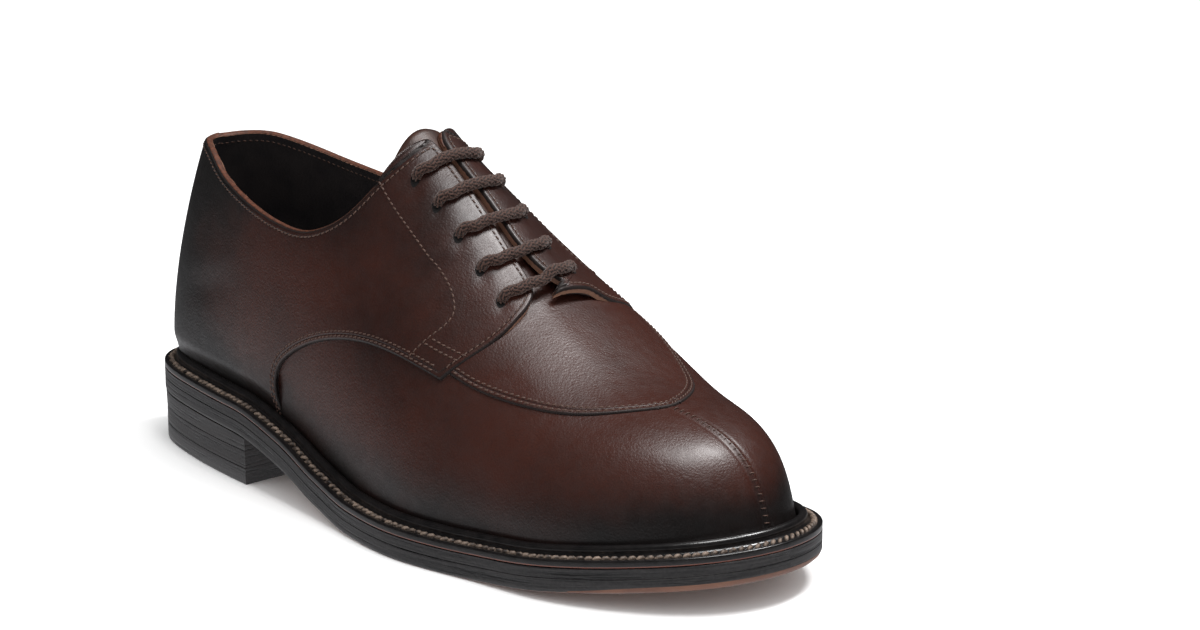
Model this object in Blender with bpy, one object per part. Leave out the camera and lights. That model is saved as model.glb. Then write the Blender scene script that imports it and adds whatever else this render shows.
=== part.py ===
# Apron toe derby, right shoe, built as separate pieces.
# X runs forward, Y to the inner side of the foot, Z up. The origin is on the floor
# under the middle of the heel. Lengths are in metres.
import math
from collections import namedtuple

import bmesh
import bpy
import numpy as np
from mathutils import Vector
from mathutils.bvhtree import BVHTree

# Driving sizes
SOLE_LENGTH = 0.308
SOLE_WIDTH = 0.108
HEEL_LENGTH = 0.082
HEEL_HEIGHT = 0.0190
TOE_SPRING = 0.0105
INSTEP_HEIGHT = 0.118
TOE_SHIFT = 0.0088          # how far the toe swings to the inner side

# Layers of the bottom
OUTSOLE_THICK = 0.0049
MIDSOLE_THICK = 0.0033
WELT_THICK = 0.0026
INSOLE_THICK = 0.0025
TOP_PIECE_THICK = 0.0060
LIFT_THICK = 0.0062
GAP = 0.0003                # fit between neighbours
EDGE_ROUND = 0.0005
TOE_BEVEL = 0.0016

# Welt
WELT_MARGIN = 0.0082        # from its outer edge to the upper
BEAD_WIDTH = 0.0030
BEAD_HEIGHT = 0.0034

# Leather
WALL = 0.0015
QUARTER_LAP = 0.0014        # step of the quarters over the vamp
APRON_LAP = 0.0008          # step of the apron over the vamp
SEAM_LAP = 0.0005           # raised split-toe seam
SEAM_WIDTH = 0.0016
BURY = 0.0002               # how deep an overlay starts inside the wall
FADE_START = 0.0060         # above the feather edge an overlay grows out of the wall from here
FADE_END = 0.0130
FACING_LIFT = 0.0026        # facings stand off the foot along their edges
FACING_WIDTH = 0.0280
SLIT_HALF = 0.0014          # half width of the slit where it is narrowest
TONGUE_THICK = 0.0020
TONGUE_RISE = 0.0030        # of its middle, between the facings
TONGUE_HALF = 0.0250
TONGUE_NARROWING = 0.25     # share lost towards its front end
RISE_HALF = 0.0190          # half width of the raised middle
THROAT_HALF = 0.0200        # opening of the vamp under the facings

# Lacing
EYELET_RADIUS = 0.0023
EYELET_SETBACK = 0.0125
EYELET_DEPTH = 0.0080
LACE_RADIUS = 0.0015
LACE_DIP = 0.0012
LACE_BOW = 0.0016           # each bar bows forward in its middle
LACE_BEND = 0.0022          # radius of the turn down into an eyelet

# Mesh fineness
STEPS = 36
ROWS = 10
CURVE_STEPS = 3
TONGUE_STEPS = 16
TONGUE_ROWS = 10
BAR_STEPS = 8
FINE = 0.0001               # step for slopes

HEEL_BACK = -HEEL_LENGTH / 2
BREAST = HEEL_LENGTH / 2
HEEL_PIVOT = 0.135          # share of the length round which the heel's sections fan
TOE_PIVOT = 0.83
PIVOT_BLEND = 0.006
MIDSOLE_TOP = OUTSOLE_THICK + MIDSOLE_THICK + GAP
WELT_BOTTOM = MIDSOLE_TOP + GAP
CUT_TOP = 1.6 * INSTEP_HEIGHT

# Sole outline: share of the length; outer and inner half as shares of the width
Outline = namedtuple("Outline", "at outer inner")
OUTLINE = [
    Outline(0.03, 0.160, 0.190),
    Outline(0.12, 0.266, 0.320),
    Outline(0.24, 0.334, 0.352),
    Outline(0.36, 0.380, 0.322),
    Outline(0.48, 0.446, 0.366),
    Outline(0.60, 0.502, 0.452),
    Outline(0.70, 0.483, 0.487),
    Outline(0.80, 0.469, 0.481),
    Outline(0.90, 0.382, 0.400),
    Outline(0.97, 0.237, 0.249),
]

# Underside: share of the length; height as shares of heel height and toe spring
Bottom = namedtuple("Bottom", "at heel toe")
BOTTOM = [
    Bottom(0.00, 1.00, 0.0),
    Bottom(0.12, 1.00, 0.0),
    Bottom(0.24, 0.965, 0.0),
    Bottom(0.34, 0.66, 0.0),
    Bottom(0.42, 0.26, 0.0),
    Bottom(0.50, 0.03, 0.0),
    Bottom(0.58, 0.0, 0.0),
    Bottom(0.66, 0.0, 0.0),
    Bottom(0.75, 0.0, 0.12),
    Bottom(0.85, 0.0, 0.44),
    Bottom(0.93, 0.0, 0.74),
    Bottom(1.00, 0.0, 1.0),
]

# Upper: share of the length; ridge height as a share of the instep height; ridge offset to
# the inner side and each side's swell as shares of the sole's width; how high each swell
# sits and how wide the crown is, as shares of the section
Section = namedtuple("Section", "at ridge offset swell_out swell_in rise_out rise_in crown_out crown_in")
SECTIONS = [
    Section(0.00, 1.120, 0.0000, 0.0574, 0.0611, 0.300, 0.330, 0.200, 0.250),
    Section(0.12, 1.190, 0.0037, 0.0463, 0.0556, 0.345, 0.420, 0.365, 0.450),
    Section(0.25, 1.335, 0.0065, 0.0741, 0.0852, 0.392, 0.420, 0.560, 0.570),
    Section(0.36, 1.325, 0.0093, 0.0787, 0.1426, 0.425, 0.485, 0.570, 0.580),
    Section(0.46, 1.112, 0.0130, 0.0694, 0.2278, 0.505, 0.690, 0.490, 0.625),
    Section(0.54, 0.952, 0.0102, 0.0593, 0.2593, 0.503, 0.745, 0.486, 0.655),
    Section(0.62, 0.764, 0.0074, 0.0593, 0.3009, 0.522, 0.812, 0.522, 0.708),
    Section(0.70, 0.628, 0.0046, 0.0491, 0.2593, 0.579, 0.832, 0.579, 0.744),
    Section(0.78, 0.522, 0.0028, 0.0361, 0.1667, 0.640, 0.812, 0.640, 0.757),
    Section(0.86, 0.480, 0.0000, 0.0120, 0.0593, 0.685, 0.795, 0.688, 0.770),
    Section(1.00, 0.433, 0.0000, -0.0407, -0.0769, 0.719, 0.733, 0.725, 0.741),
]


def natural_curve(knots, values):
    """Natural cubic curve through the values."""
    knots = np.array(knots, float)
    values = np.array(values, float)
    count = len(knots)
    step = np.diff(knots)
    system = np.eye(count)
    right = np.zeros(count)
    for i in range(1, count - 1):
        system[i, i - 1:i + 2] = step[i - 1], 2 * (step[i - 1] + step[i]), step[i]
        right[i] = 6 * ((values[i + 1] - values[i]) / step[i] - (values[i] - values[i - 1]) / step[i - 1])
    bend = np.linalg.solve(system, right)

    def curve(at):
        at = np.asarray(at, float)
        k = np.clip(np.searchsorted(knots, at) - 1, 0, count - 2)
        low, high, width = at - knots[k], knots[k + 1] - at, step[k]
        return ((bend[k] * high ** 3 + bend[k + 1] * low ** 3) / (6 * width)
                + (values[k] / width - bend[k] * width / 6) * high
                + (values[k + 1] / width - bend[k + 1] * width / 6) * low)
    return curve


def steady_curve(knots, values):
    """Cubic curve through the values that never overshoots them."""
    knots = np.array(knots, float)
    values = np.array(values, float)
    step = np.diff(knots)
    slope = np.diff(values) / step
    tangent = np.zeros(len(knots))
    for i in range(1, len(knots) - 1):
        if slope[i - 1] * slope[i] > 0:
            before, after = 2 * step[i] + step[i - 1], step[i] + 2 * step[i - 1]
            tangent[i] = (before + after) / (before / slope[i - 1] + after / slope[i])
    tangent[0], tangent[-1] = slope[0], slope[-1]

    def curve(at):
        at = np.clip(np.asarray(at, float), knots[0], knots[-1])
        k = np.clip(np.searchsorted(knots, at) - 1, 0, len(knots) - 2)
        t = (at - knots[k]) / step[k]
        return ((2 * t ** 3 - 3 * t ** 2 + 1) * values[k] + (t ** 3 - 2 * t ** 2 + t) * step[k] * tangent[k]
                + (3 * t ** 2 - 2 * t ** 3) * values[k + 1] + (t ** 3 - t ** 2) * step[k] * tangent[k + 1])
    return curve


def column(table, name, curve=natural_curve):
    """One column of a table as a curve over the share of the length."""
    return curve([row.at for row in table], [getattr(row, name) for row in table])


def smooth_step(value, low, high):
    t = np.clip((value - low) / (high - low), 0, 1)
    return t * t * (3 - 2 * t)


def share_of(x):
    return (np.asarray(x, float) - HEEL_BACK) / SOLE_LENGTH


def length_at(share):
    return HEEL_BACK + np.asarray(share, float) * SOLE_LENGTH


# Sole

def turn(share):
    """Even steps of this make even steps round the rounded ends of the outline."""
    return np.arccos(1 - 2 * np.asarray(share, float)) / np.pi


def half_outline(name):
    knots = [float(turn(row.at)) for row in OUTLINE]
    values = [getattr(row, name) * SOLE_WIDTH for row in OUTLINE]
    return natural_curve([-knots[0], 0] + knots + [1, 2 - knots[-1]],
                         [-values[0], 0] + values + [0, -values[-1]])


outer_half = half_outline("outer")
inner_half = half_outline("inner")
heel_rise = column(BOTTOM, "heel", steady_curve)
toe_rise = column(BOTTOM, "toe", steady_curve)
section = {name: column(SECTIONS, name) for name in Section._fields[1:]}


def centre_y(x):
    return TOE_SHIFT * np.clip((share_of(x) - 0.45) / 0.55, 0, 1) ** 2


def under(x):
    """Height of the sole's underside."""
    share = np.clip(share_of(x), 0, 1)
    return HEEL_HEIGHT * heel_rise(share) + TOE_SPRING * toe_rise(share)


def sole_edges(inset, steps=STEPS, end=1.0):
    """Outer and inner edge from heel to toe, drawn in by the inset, as two arrays of x, y."""
    t = np.linspace(0, float(turn(end)), steps + 1)
    edges = []
    for half, side in ((outer_half, -1), (inner_half, 1)):
        at = length_at((1 - np.cos(np.pi * t)) / 2)
        point = np.stack([at, centre_y(at) + side * half(t)], 1)
        ahead = length_at((1 - np.cos(np.pi * (t + FINE))) / 2)
        ahead = np.stack([ahead, centre_y(ahead) + side * half(t + FINE)], 1)
        run = (ahead - point) / np.linalg.norm(ahead - point, axis=1)[:, None]
        run[0] = 0, side
        if end == 1.0:
            run[-1] = 0, -side
        inward = np.stack([run[:, 1], -run[:, 0]], 1) * side
        edges.append(point + inward * inset)
    return edges


# Upper's surface

def soft_limit(x, low, high):
    """Keeps x between the two pivots, with a soft turn at each."""
    x = low + PIVOT_BLEND * np.log1p(np.exp((x - low) / PIVOT_BLEND))
    x = high - PIVOT_BLEND * np.log1p(np.exp((high - x) / PIVOT_BLEND))
    x = np.where(x - low < EDGE_ROUND, low, x)
    return np.where(high - x < EDGE_ROUND, high, x)


def ridge_at(x):
    """Centre of the crown: y and height."""
    share = share_of(x)
    return centre_y(x) + section["offset"](share) * SOLE_WIDTH, section["ridge"](share) * INSTEP_HEIGHT


def even_rows(rows):
    return np.linspace(0, 1, rows + 1)


def raised_rows():
    """Rows of an overlay, whose lowest one lies between the wall's first two."""
    return np.concatenate([[0.75 / ROWS], even_rows(ROWS)[1:]])


def upper_grid(steps=STEPS, v=even_rows(ROWS)):
    """Points and outward normals of the vamp's surface as [side, step, row].

    Rows climb from the feather edge to the ridge; both sides share the ridge
    and the first and last step."""
    t = np.linspace(0, 1, steps + 1)
    x = length_at((1 - np.cos(np.pi * t)) / 2)
    mid_x = soft_limit(x, float(length_at(HEEL_PIVOT)), float(length_at(TOE_PIVOT)))
    mid_y, top = ridge_at(mid_x)
    slope = (ridge_at(mid_x + FINE)[1] - ridge_at(mid_x - FINE)[1]) / (2 * FINE)
    middle = np.stack([mid_x, mid_y], 1)
    blend = np.stack([(1 - v) ** 3, 3 * v * (1 - v) ** 2, 3 * v * v * (1 - v), v ** 3])
    points = np.zeros((2, steps + 1, len(v), 3))
    for k, feather in enumerate(sole_edges(WELT_MARGIN, steps)):
        away = feather - middle
        reach = np.linalg.norm(away, axis=1)
        away = away / reach[:, None]
        share = share_of(x)
        outer = 0.5 - 0.5 * away[:, 1]
        swell, rise, crown = (outer * section[name + "_out"](share) + (1 - outer) * section[name + "_in"](share)
                              for name in ("swell", "rise", "crown"))
        foot = under(feather[:, 0]) + WELT_BOTTOM
        radius = np.stack([reach, reach + swell * SOLE_WIDTH, crown * reach, 0 * reach], 1)
        height = np.stack([foot, foot + rise * (top + slope * away[:, 0] * reach * 0.5 - foot),
                           top + slope * away[:, 0] * crown * reach, top], 1)
        along = radius @ blend
        points[k, :, :, 0] = mid_x[:, None] + away[:, :1] * along
        points[k, :, :, 1] = mid_y[:, None] + away[:, 1:] * along
        points[k, :, :, 2] = height @ blend
    return points, grid_normals(points, slope)


def grid_normals(points, slope):
    """Outward normals; across the ridge they come from the ridge's slope."""
    normals = np.zeros_like(points)
    for k in (0, 1):
        other = points[1 - k]
        ring = np.concatenate([other[1:2], points[k], other[-2:-1]])
        along = ring[2:] - ring[:-2]
        climb = np.gradient(points[k], axis=1)
        normal = np.cross(along, climb) * (1 if k == 0 else -1)
        normals[k] = normal / np.maximum(np.linalg.norm(normal, axis=2, keepdims=True), 1e-12)
    crest = np.stack([-slope, 0 * slope, np.ones_like(slope)], 1)
    normals[:, :, -1] = crest / np.linalg.norm(crest, axis=1)[:, None]
    return normals


# Lines drawn on the upper

Line = namedtuple("Line", "at height")      # seen from the side, as shares of length and instep height

COLLAR_OUTER = [
    Line(-0.050, 1.000), Line(0.020, 0.996), Line(0.081, 0.988), Line(0.119, 0.965), Line(0.148, 0.927),
    Line(0.204, 0.880), Line(0.258, 0.852), Line(0.318, 0.831), Line(0.361, 0.833), Line(0.387, 0.853),
    Line(0.413, 0.889), Line(0.433, 0.938), Line(0.447, 0.988), Line(0.459, 1.030), Line(0.470, 1.072),
    Line(0.477, 1.110), Line(0.484, 1.170),
]
COLLAR_INNER = [
    Line(-0.050, 1.000), Line(0.020, 0.996), Line(0.081, 0.989), Line(0.109, 0.990), Line(0.134, 0.980),
    Line(0.177, 0.955), Line(0.216, 0.932), Line(0.288, 0.906), Line(0.338, 0.898), Line(0.378, 0.910),
    Line(0.408, 0.940), Line(0.430, 0.985), Line(0.446, 1.035), Line(0.458, 1.080), Line(0.468, 1.120),
    Line(0.477, 1.170),
]
# Lower edge of a quarter from the welt to its tip, then its front edge up to the facing
QUARTER_OUTER = [
    Line(0.322, 0.160), Line(0.319, 0.230), Line(0.316, 0.300), Line(0.315, 0.350), Line(0.323, 0.400),
    Line(0.343, 0.446), Line(0.375, 0.493), Line(0.426, 0.541), Line(0.485, 0.566), Line(0.530, 0.565),
    Line(0.574, 0.548), Line(0.617, 0.520),
]
FRONT_OUTER = [
    Line(0.617, 0.520), Line(0.636, 0.575), Line(0.654, 0.630), Line(0.661, 0.670), Line(0.662, 0.710),
    Line(0.661, 0.800), Line(0.660, 0.900),
]
QUARTER_INNER = [
    Line(0.322, 0.160), Line(0.318, 0.230), Line(0.315, 0.300), Line(0.314, 0.355), Line(0.322, 0.410),
    Line(0.343, 0.462), Line(0.375, 0.510), Line(0.426, 0.558), Line(0.485, 0.582), Line(0.530, 0.582),
    Line(0.574, 0.570), Line(0.614, 0.545),
]
FRONT_INNER = [
    Line(0.614, 0.545), Line(0.637, 0.600), Line(0.655, 0.650), Line(0.662, 0.690), Line(0.663, 0.730),
    Line(0.662, 0.800), Line(0.660, 0.900),
]
# Slit between the facings: share of the length, share of its half width; it opens round the corners
Slit = namedtuple("Slit", "at half")
SLIT = [
    Slit(0.440, 7.86), Slit(0.458, 5.36), Slit(0.470, 2.57), Slit(0.482, 1.29), Slit(0.500, 1.00),
    Slit(0.560, 1.36), Slit(0.600, 1.64), Slit(0.630, 2.07), Slit(0.645, 3.00), Slit(0.655, 5.00),
    Slit(0.662, 7.86), Slit(0.680, 14.29),
]
# Apron seen from above: share of the length, half widths as shares of the sole's width
Apron = namedtuple("Apron", "at outer inner")
APRON = [
    Apron(0.590, 0.338, 0.430),
    Apron(0.640, 0.330, 0.415),
    Apron(0.680, 0.313, 0.393),
    Apron(0.720, 0.289, 0.357),
    Apron(0.760, 0.252, 0.302),
    Apron(0.795, 0.193, 0.232),
    Apron(0.822, 0.110, 0.132),
    Apron(0.834, 0.048, 0.056),
]
APRON_TIP = 0.8375
# The vamp's opening under the facings: share of the length, share of its half width
Throat = namedtuple("Throat", "at half")
THROAT = [Throat(0.380, 1.00), Throat(0.600, 1.00), Throat(0.628, 0.80), Throat(0.634, 0.45)]
TONGUE_FRONT = 0.648
TONGUE_BACK = 0.452
EYELETS = 5
EYELET_TOP = 0.491
EYELET_FRONT = 0.636


def smooth_path(points):
    """Smooth open path through points in a plane."""
    points = np.array(points, float)
    run = np.concatenate([[0], np.cumsum(np.linalg.norm(np.diff(points, axis=0), axis=1))])
    parts = [np.linspace(a, b, CURVE_STEPS, endpoint=False) for a, b in zip(run[:-1], run[1:])]
    along = np.concatenate(parts + [run[-1:]])
    return np.stack([natural_curve(run, points[:, k])(along) for k in (0, 1)], 1)


def side_path(table):
    return smooth_path([(float(length_at(row.at)), row.height * INSTEP_HEIGHT) for row in table])


# Objects

for old in list(bpy.data.objects):
    bpy.data.objects.remove(old, do_unlink=True)

shoe = bpy.data.collections.new("apron_toe_derby")
tools = bpy.data.collections.new("cutters")
bpy.context.scene.collection.children.link(shoe)
bpy.context.scene.collection.children.link(tools)


def leather(name, colour, roughness):
    material = bpy.data.materials.new(name)
    material.use_nodes = True
    shader = material.node_tree.nodes["Principled BSDF"]
    shader.inputs["Base Color"].default_value = (*colour, 1)
    shader.inputs["Roughness"].default_value = roughness
    shader.inputs["Metallic"].default_value = 0
    return material


upper_leather = leather("upper_leather", (0.060, 0.022, 0.012), 0.35)
tongue_leather = leather("tongue_leather", (0.050, 0.020, 0.012), 0.50)
insole_leather = leather("insole_leather", (0.030, 0.020, 0.015), 0.60)
welt_leather = leather("welt_leather", (0.012, 0.009, 0.008), 0.35)
midsole_leather = leather("midsole_leather", (0.022, 0.016, 0.014), 0.45)
outsole_leather = leather("outsole_leather", (0.030, 0.020, 0.016), 0.45)
lift_leather = leather("lift_leather", (0.028, 0.021, 0.019), 0.45)
top_piece_leather = leather("top_piece_leather", (0.020, 0.016, 0.015), 0.50)
lace_cotton = leather("lace_cotton", (0.070, 0.028, 0.016), 0.80)


def add_object(name, mesh, material=None, collection=shoe):
    item = bpy.data.objects.new(name, mesh)
    collection.objects.link(item)
    if material:
        mesh.materials.append(material)
    else:
        item.hide_render = True
        item.display_type = "WIRE"
    return item


def mesh_from(name, work):
    bmesh.ops.recalc_face_normals(work, faces=work.faces)
    mesh = bpy.data.meshes.new(name)
    work.to_mesh(mesh)
    work.free()
    mesh.shade_smooth()
    mesh.set_sharp_from_angle(angle=math.radians(35))
    return mesh


def combine(item, other, operation):
    step = item.modifiers.new(other.name, "BOOLEAN")
    step.operation = operation
    step.object = other
    step.solver = "EXACT"


def prism(name, outline, axis, low, high):
    """Closed outline pushed along one axis: 'Y' for a side view, 'Z' for a plan."""
    work = bmesh.new()
    if axis == "Y":
        corners = [work.verts.new((x, low, z)) for x, z in outline]
        push = Vector((0, high - low, 0))
    else:
        corners = [work.verts.new((x, y, low)) for x, y in outline]
        push = Vector((0, 0, high - low))
    face = work.faces.new(corners)
    raised = bmesh.ops.extrude_face_region(work, geom=[face])
    bmesh.ops.translate(work, vec=push, verts=[v for v in raised["geom"] if isinstance(v, bmesh.types.BMVert)])
    return add_object(name, mesh_from(name, work), collection=tools)


# Bottom layers

def layer(name, rings, material):
    """Solid between stacked rings; each ring is a pair of edges and their heights."""
    work = bmesh.new()
    loops = []
    for (outer, inner), height in rings:
        last = len(outer) if np.linalg.norm(outer[-1] - inner[-1]) > GAP else len(outer) - 1
        plan = np.concatenate([outer, inner[1:last][::-1]])
        loops.append([work.verts.new((x, y, height(x))) for x, y in plan])
        count = len(outer)
    total = len(loops[0])
    for low, high in zip(loops, loops[1:]):
        for k in range(total):
            work.faces.new((low[k], low[(k + 1) % total], high[(k + 1) % total], high[k]))
    for loop in (loops[0], loops[-1]):
        for k in range(count - 1):
            near, far = (total - k) % total, total - k - 1
            corners = [loop[k], loop[k + 1], loop[far], loop[near]]
            corners = [c for i, c in enumerate(corners) if c not in corners[:i]]
            if len(corners) > 2:
                work.faces.new(corners)
    bmesh.ops.triangulate(work, faces=work.faces)
    return add_object(name, mesh_from(name, work), material)


def heel_edges(inset):
    """The sole's edges as far as the breast of the heel."""
    edges = sole_edges(inset, steps=STEPS // 2, end=HEEL_LENGTH / SOLE_LENGTH)
    for edge in edges:
        edge[:, 0] = np.minimum(edge[:, 0], BREAST)
        edge[-1, 0] = BREAST
    return edges


def level(height):
    return lambda x: height


def above(offset):
    return lambda x: float(under(x)) + offset


def bevel(x):
    """Extra height of the outsole's lower edge, thinned at the toe."""
    return TOE_BEVEL * float(smooth_step(share_of(x), 0.80, 0.93))


def add_outsole():
    rings = [(sole_edges(EDGE_ROUND), above(0)),
             (sole_edges(0), lambda x: float(under(x)) + EDGE_ROUND + bevel(x)),
             (sole_edges(0), above(OUTSOLE_THICK - EDGE_ROUND / 2)),
             (sole_edges(EDGE_ROUND / 2), above(OUTSOLE_THICK))]
    return layer("outsole", rings, outsole_leather)


def add_midsole():
    low = OUTSOLE_THICK + GAP
    rings = [(sole_edges(EDGE_ROUND / 2), above(low)), (sole_edges(0), above(low + EDGE_ROUND / 2)),
             (sole_edges(0), above(MIDSOLE_TOP - EDGE_ROUND / 2)), (sole_edges(EDGE_ROUND / 2), above(MIDSOLE_TOP))]
    return layer("midsole", rings, midsole_leather)


def add_heel():
    flare = EDGE_ROUND
    first = TOP_PIECE_THICK + GAP
    second = first + LIFT_THICK + GAP
    layer("top_piece", [(heel_edges(flare + EDGE_ROUND), level(0)), (heel_edges(flare), level(EDGE_ROUND)),
                        (heel_edges(flare), level(TOP_PIECE_THICK))], top_piece_leather)
    layer("heel_lift_1", [(heel_edges(flare), level(first)), (heel_edges(flare), level(first + LIFT_THICK))],
          lift_leather)
    layer("heel_lift_2", [(heel_edges(flare), level(second)), (heel_edges(flare / 2), above(-GAP))], lift_leather)


def add_insole():
    inset = WELT_MARGIN + WALL + 4 * GAP
    return layer("insole", [(sole_edges(inset), above(WELT_BOTTOM)),
                            (sole_edges(inset), above(WELT_BOTTOM + INSOLE_THICK))], insole_leather)


def add_welt():
    """Ring round the upper: flat seat for the stitching and a raised bead against the wall."""
    points = upper_grid(STEPS, even_rows(6 * ROWS))[0]
    feet, rims = sole_edges(WELT_MARGIN), sole_edges(0)
    ring = [(0, i) for i in range(STEPS + 1)] + [(1, i) for i in range(STEPS - 1, 0, -1)]
    work = bmesh.new()
    loops = []
    for side, i in ring:
        outward = (rims[side][i] - feet[side][i]) / WELT_MARGIN
        wall = points[side, i]
        base = float(under(rims[side][i][0]))

        def inner(rise):
            k = np.interp(base + WELT_BOTTOM + rise, wall[:, 2], np.arange(len(wall)))
            low = int(k)
            return (wall[low] + (wall[low + 1] - wall[low]) * (k - low))[:2] + outward * GAP

        lip = WELT_THICK + BEAD_HEIGHT
        top = max((inner(rise) - feet[side][i]) @ outward for rise in (0, WELT_THICK, lip - BEAD_WIDTH / 2))
        face = feet[side][i] + outward * max(top, 0)
        crest = face + outward * (BEAD_WIDTH / 2)
        shape = [(rims[side][i], 0), (rims[side][i], WELT_THICK - EDGE_ROUND),
                 (rims[side][i] - outward * EDGE_ROUND, WELT_THICK), (face + outward * BEAD_WIDTH, WELT_THICK)]
        for degrees in (20, 75, 130):
            a = math.radians(degrees)
            shape.append((crest + outward * math.cos(a) * BEAD_WIDTH / 2,
                          lip - BEAD_WIDTH / 2 + math.sin(a) * BEAD_WIDTH / 2))
        shape += [(face, lip - BEAD_WIDTH / 2), (face, 0)]
        loops.append([work.verts.new((x, y, base + WELT_BOTTOM + z)) for (x, y), z in shape])
    for near, far in zip(loops, loops[1:] + loops[:1]):
        for k in range(len(near)):
            work.faces.new((near[k - 1], near[k], far[k], far[k - 1]))
    bmesh.ops.triangulate(work, faces=work.faces)
    return add_object("welt", mesh_from("welt", work), welt_leather)


# Upper

def shell(name, outer, inner, rows, material=None, collection=tools):
    """Hollow form between two offsets of the upper's surface, open underneath."""
    points, normals = upper_grid(STEPS, rows)
    sheets = [points + normals * offset(points)[..., None] for offset in (outer, inner)]
    work = bmesh.new()
    known = {}

    def corner(place):
        key = tuple(np.round(place, 6))
        if key not in known:
            known[key] = work.verts.new([float(c) for c in place])
        return known[key]

    def skin(places):
        corners = []
        for place in places:
            found = corner(place)
            if found not in corners:
                corners.append(found)
        if len(corners) > 2:
            work.faces.new(corners)

    for side in (0, 1):
        for sheet in sheets:
            for i in range(sheet.shape[1] - 1):
                for j in range(sheet.shape[2] - 1):
                    skin([sheet[side, i, j], sheet[side, i + 1, j], sheet[side, i + 1, j + 1], sheet[side, i, j + 1]])
        for i in range(sheets[0].shape[1] - 1):
            skin([sheets[0][side, i, 0], sheets[0][side, i + 1, 0], sheets[1][side, i + 1, 0], sheets[1][side, i, 0]])
    bmesh.ops.triangulate(work, faces=work.faces)
    return add_object(name, mesh_from(name, work), material, collection)


def off_centre(points):
    return np.abs(points[..., 1] - ridge_at(points[..., 0])[0])


def above_feather(points):
    return points[..., 2] - under(points[..., 0]) - WELT_BOTTOM


def facing_lift(points):
    return FACING_LIFT * (1 - smooth_step(off_centre(points), 0.2 * FACING_WIDTH, FACING_WIDTH))


def overlay(lap, lift=None):
    """Outer and inner offsets of an overlay that fades into the wall behind the welt."""
    def outer(points):
        grow = smooth_step(above_feather(points), FADE_START, FADE_END)
        return -BURY + (lap + BURY) * grow + (lift(points) if lift else 0)

    def inner(points):
        grow = smooth_step(above_feather(points), FADE_START, FADE_END)
        return -WALL * (0.65 - 0.25 * grow) + (lift(points) if lift else 0)
    return outer, inner


def constant(offset):
    return lambda points: np.full(points.shape[:-1], offset)


def plan_strip(half, shares):
    """Outline in plan of a strip about the crown's centre line."""
    x = length_at(np.array(shares))
    y = ridge_at(x)[0]
    width = np.array([half(share) for share in shares])
    return np.concatenate([np.stack([x, y - width], 1), np.stack([x, y + width], 1)[::-1]])


def apron_outline():
    outer = [(float(length_at(row.at)), -row.outer * SOLE_WIDTH) for row in APRON]
    inner = [(float(length_at(row.at)), row.inner * SOLE_WIDTH) for row in APRON[::-1]]
    path = smooth_path(outer + [(float(length_at(APRON_TIP)), 0)] + inner)
    path[:, 1] += ridge_at(path[:, 0])[0]
    return path


def collar_cutter(name, table, low, high):
    path = side_path(table)
    outline = list(path) + [(path[-1][0], CUT_TOP), (path[0][0], CUT_TOP)]
    return prism(name, outline, "Y", low, high)


def front_cutter(name, quarter, front, low, high):
    """What lies below and before a quarter."""
    path = list(side_path(quarter)) + list(side_path(front))[1:]
    far = float(length_at(1.2))
    outline = path + [(far, path[-1][1]), (far, path[0][1])]
    return prism(name, outline, "Y", low, high)


def eyelet_places():
    """Outer and inner eyelet of each pair, in plan."""
    shares = np.linspace(EYELET_TOP, EYELET_FRONT, EYELETS)
    slit = column(SLIT, "half", steady_curve)
    places = []
    for share in shares:
        x = float(length_at(share))
        y = float(ridge_at(x)[0])
        reach = SLIT_HALF * float(slit(share)) + EYELET_SETBACK
        places.append([Vector((x, y - reach, 0)), Vector((x, y + reach, 0))])
    return places


def search_tree(sheet):
    """Search tree of both sides of a grid of points."""
    corners, faces = [], []
    steps, rows = sheet.shape[1:3]
    for side in (0, 1):
        start = len(corners)
        corners += [Vector(place) for place in sheet[side].reshape(-1, 3)]
        for i in range(steps - 1):
            for j in range(rows - 1):
                k = start + i * rows + j
                faces.append((k, k + rows, k + rows + 1, k + 1))
    return BVHTree.FromPolygons(corners, faces)


def facing_surface():
    """The facings' outer face."""
    points, normals = upper_grid()
    outer = overlay(QUARTER_LAP, facing_lift)[0]
    return search_tree(points + normals * outer(points)[..., None])


def drop(tree, place):
    """Where a plumb line meets the surface, with its upward normal."""
    hit, normal, _, _ = tree.ray_cast(Vector((place.x, place.y, 1)), Vector((0, 0, -1)))
    return hit, normal if normal.z > 0 else -normal


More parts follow.
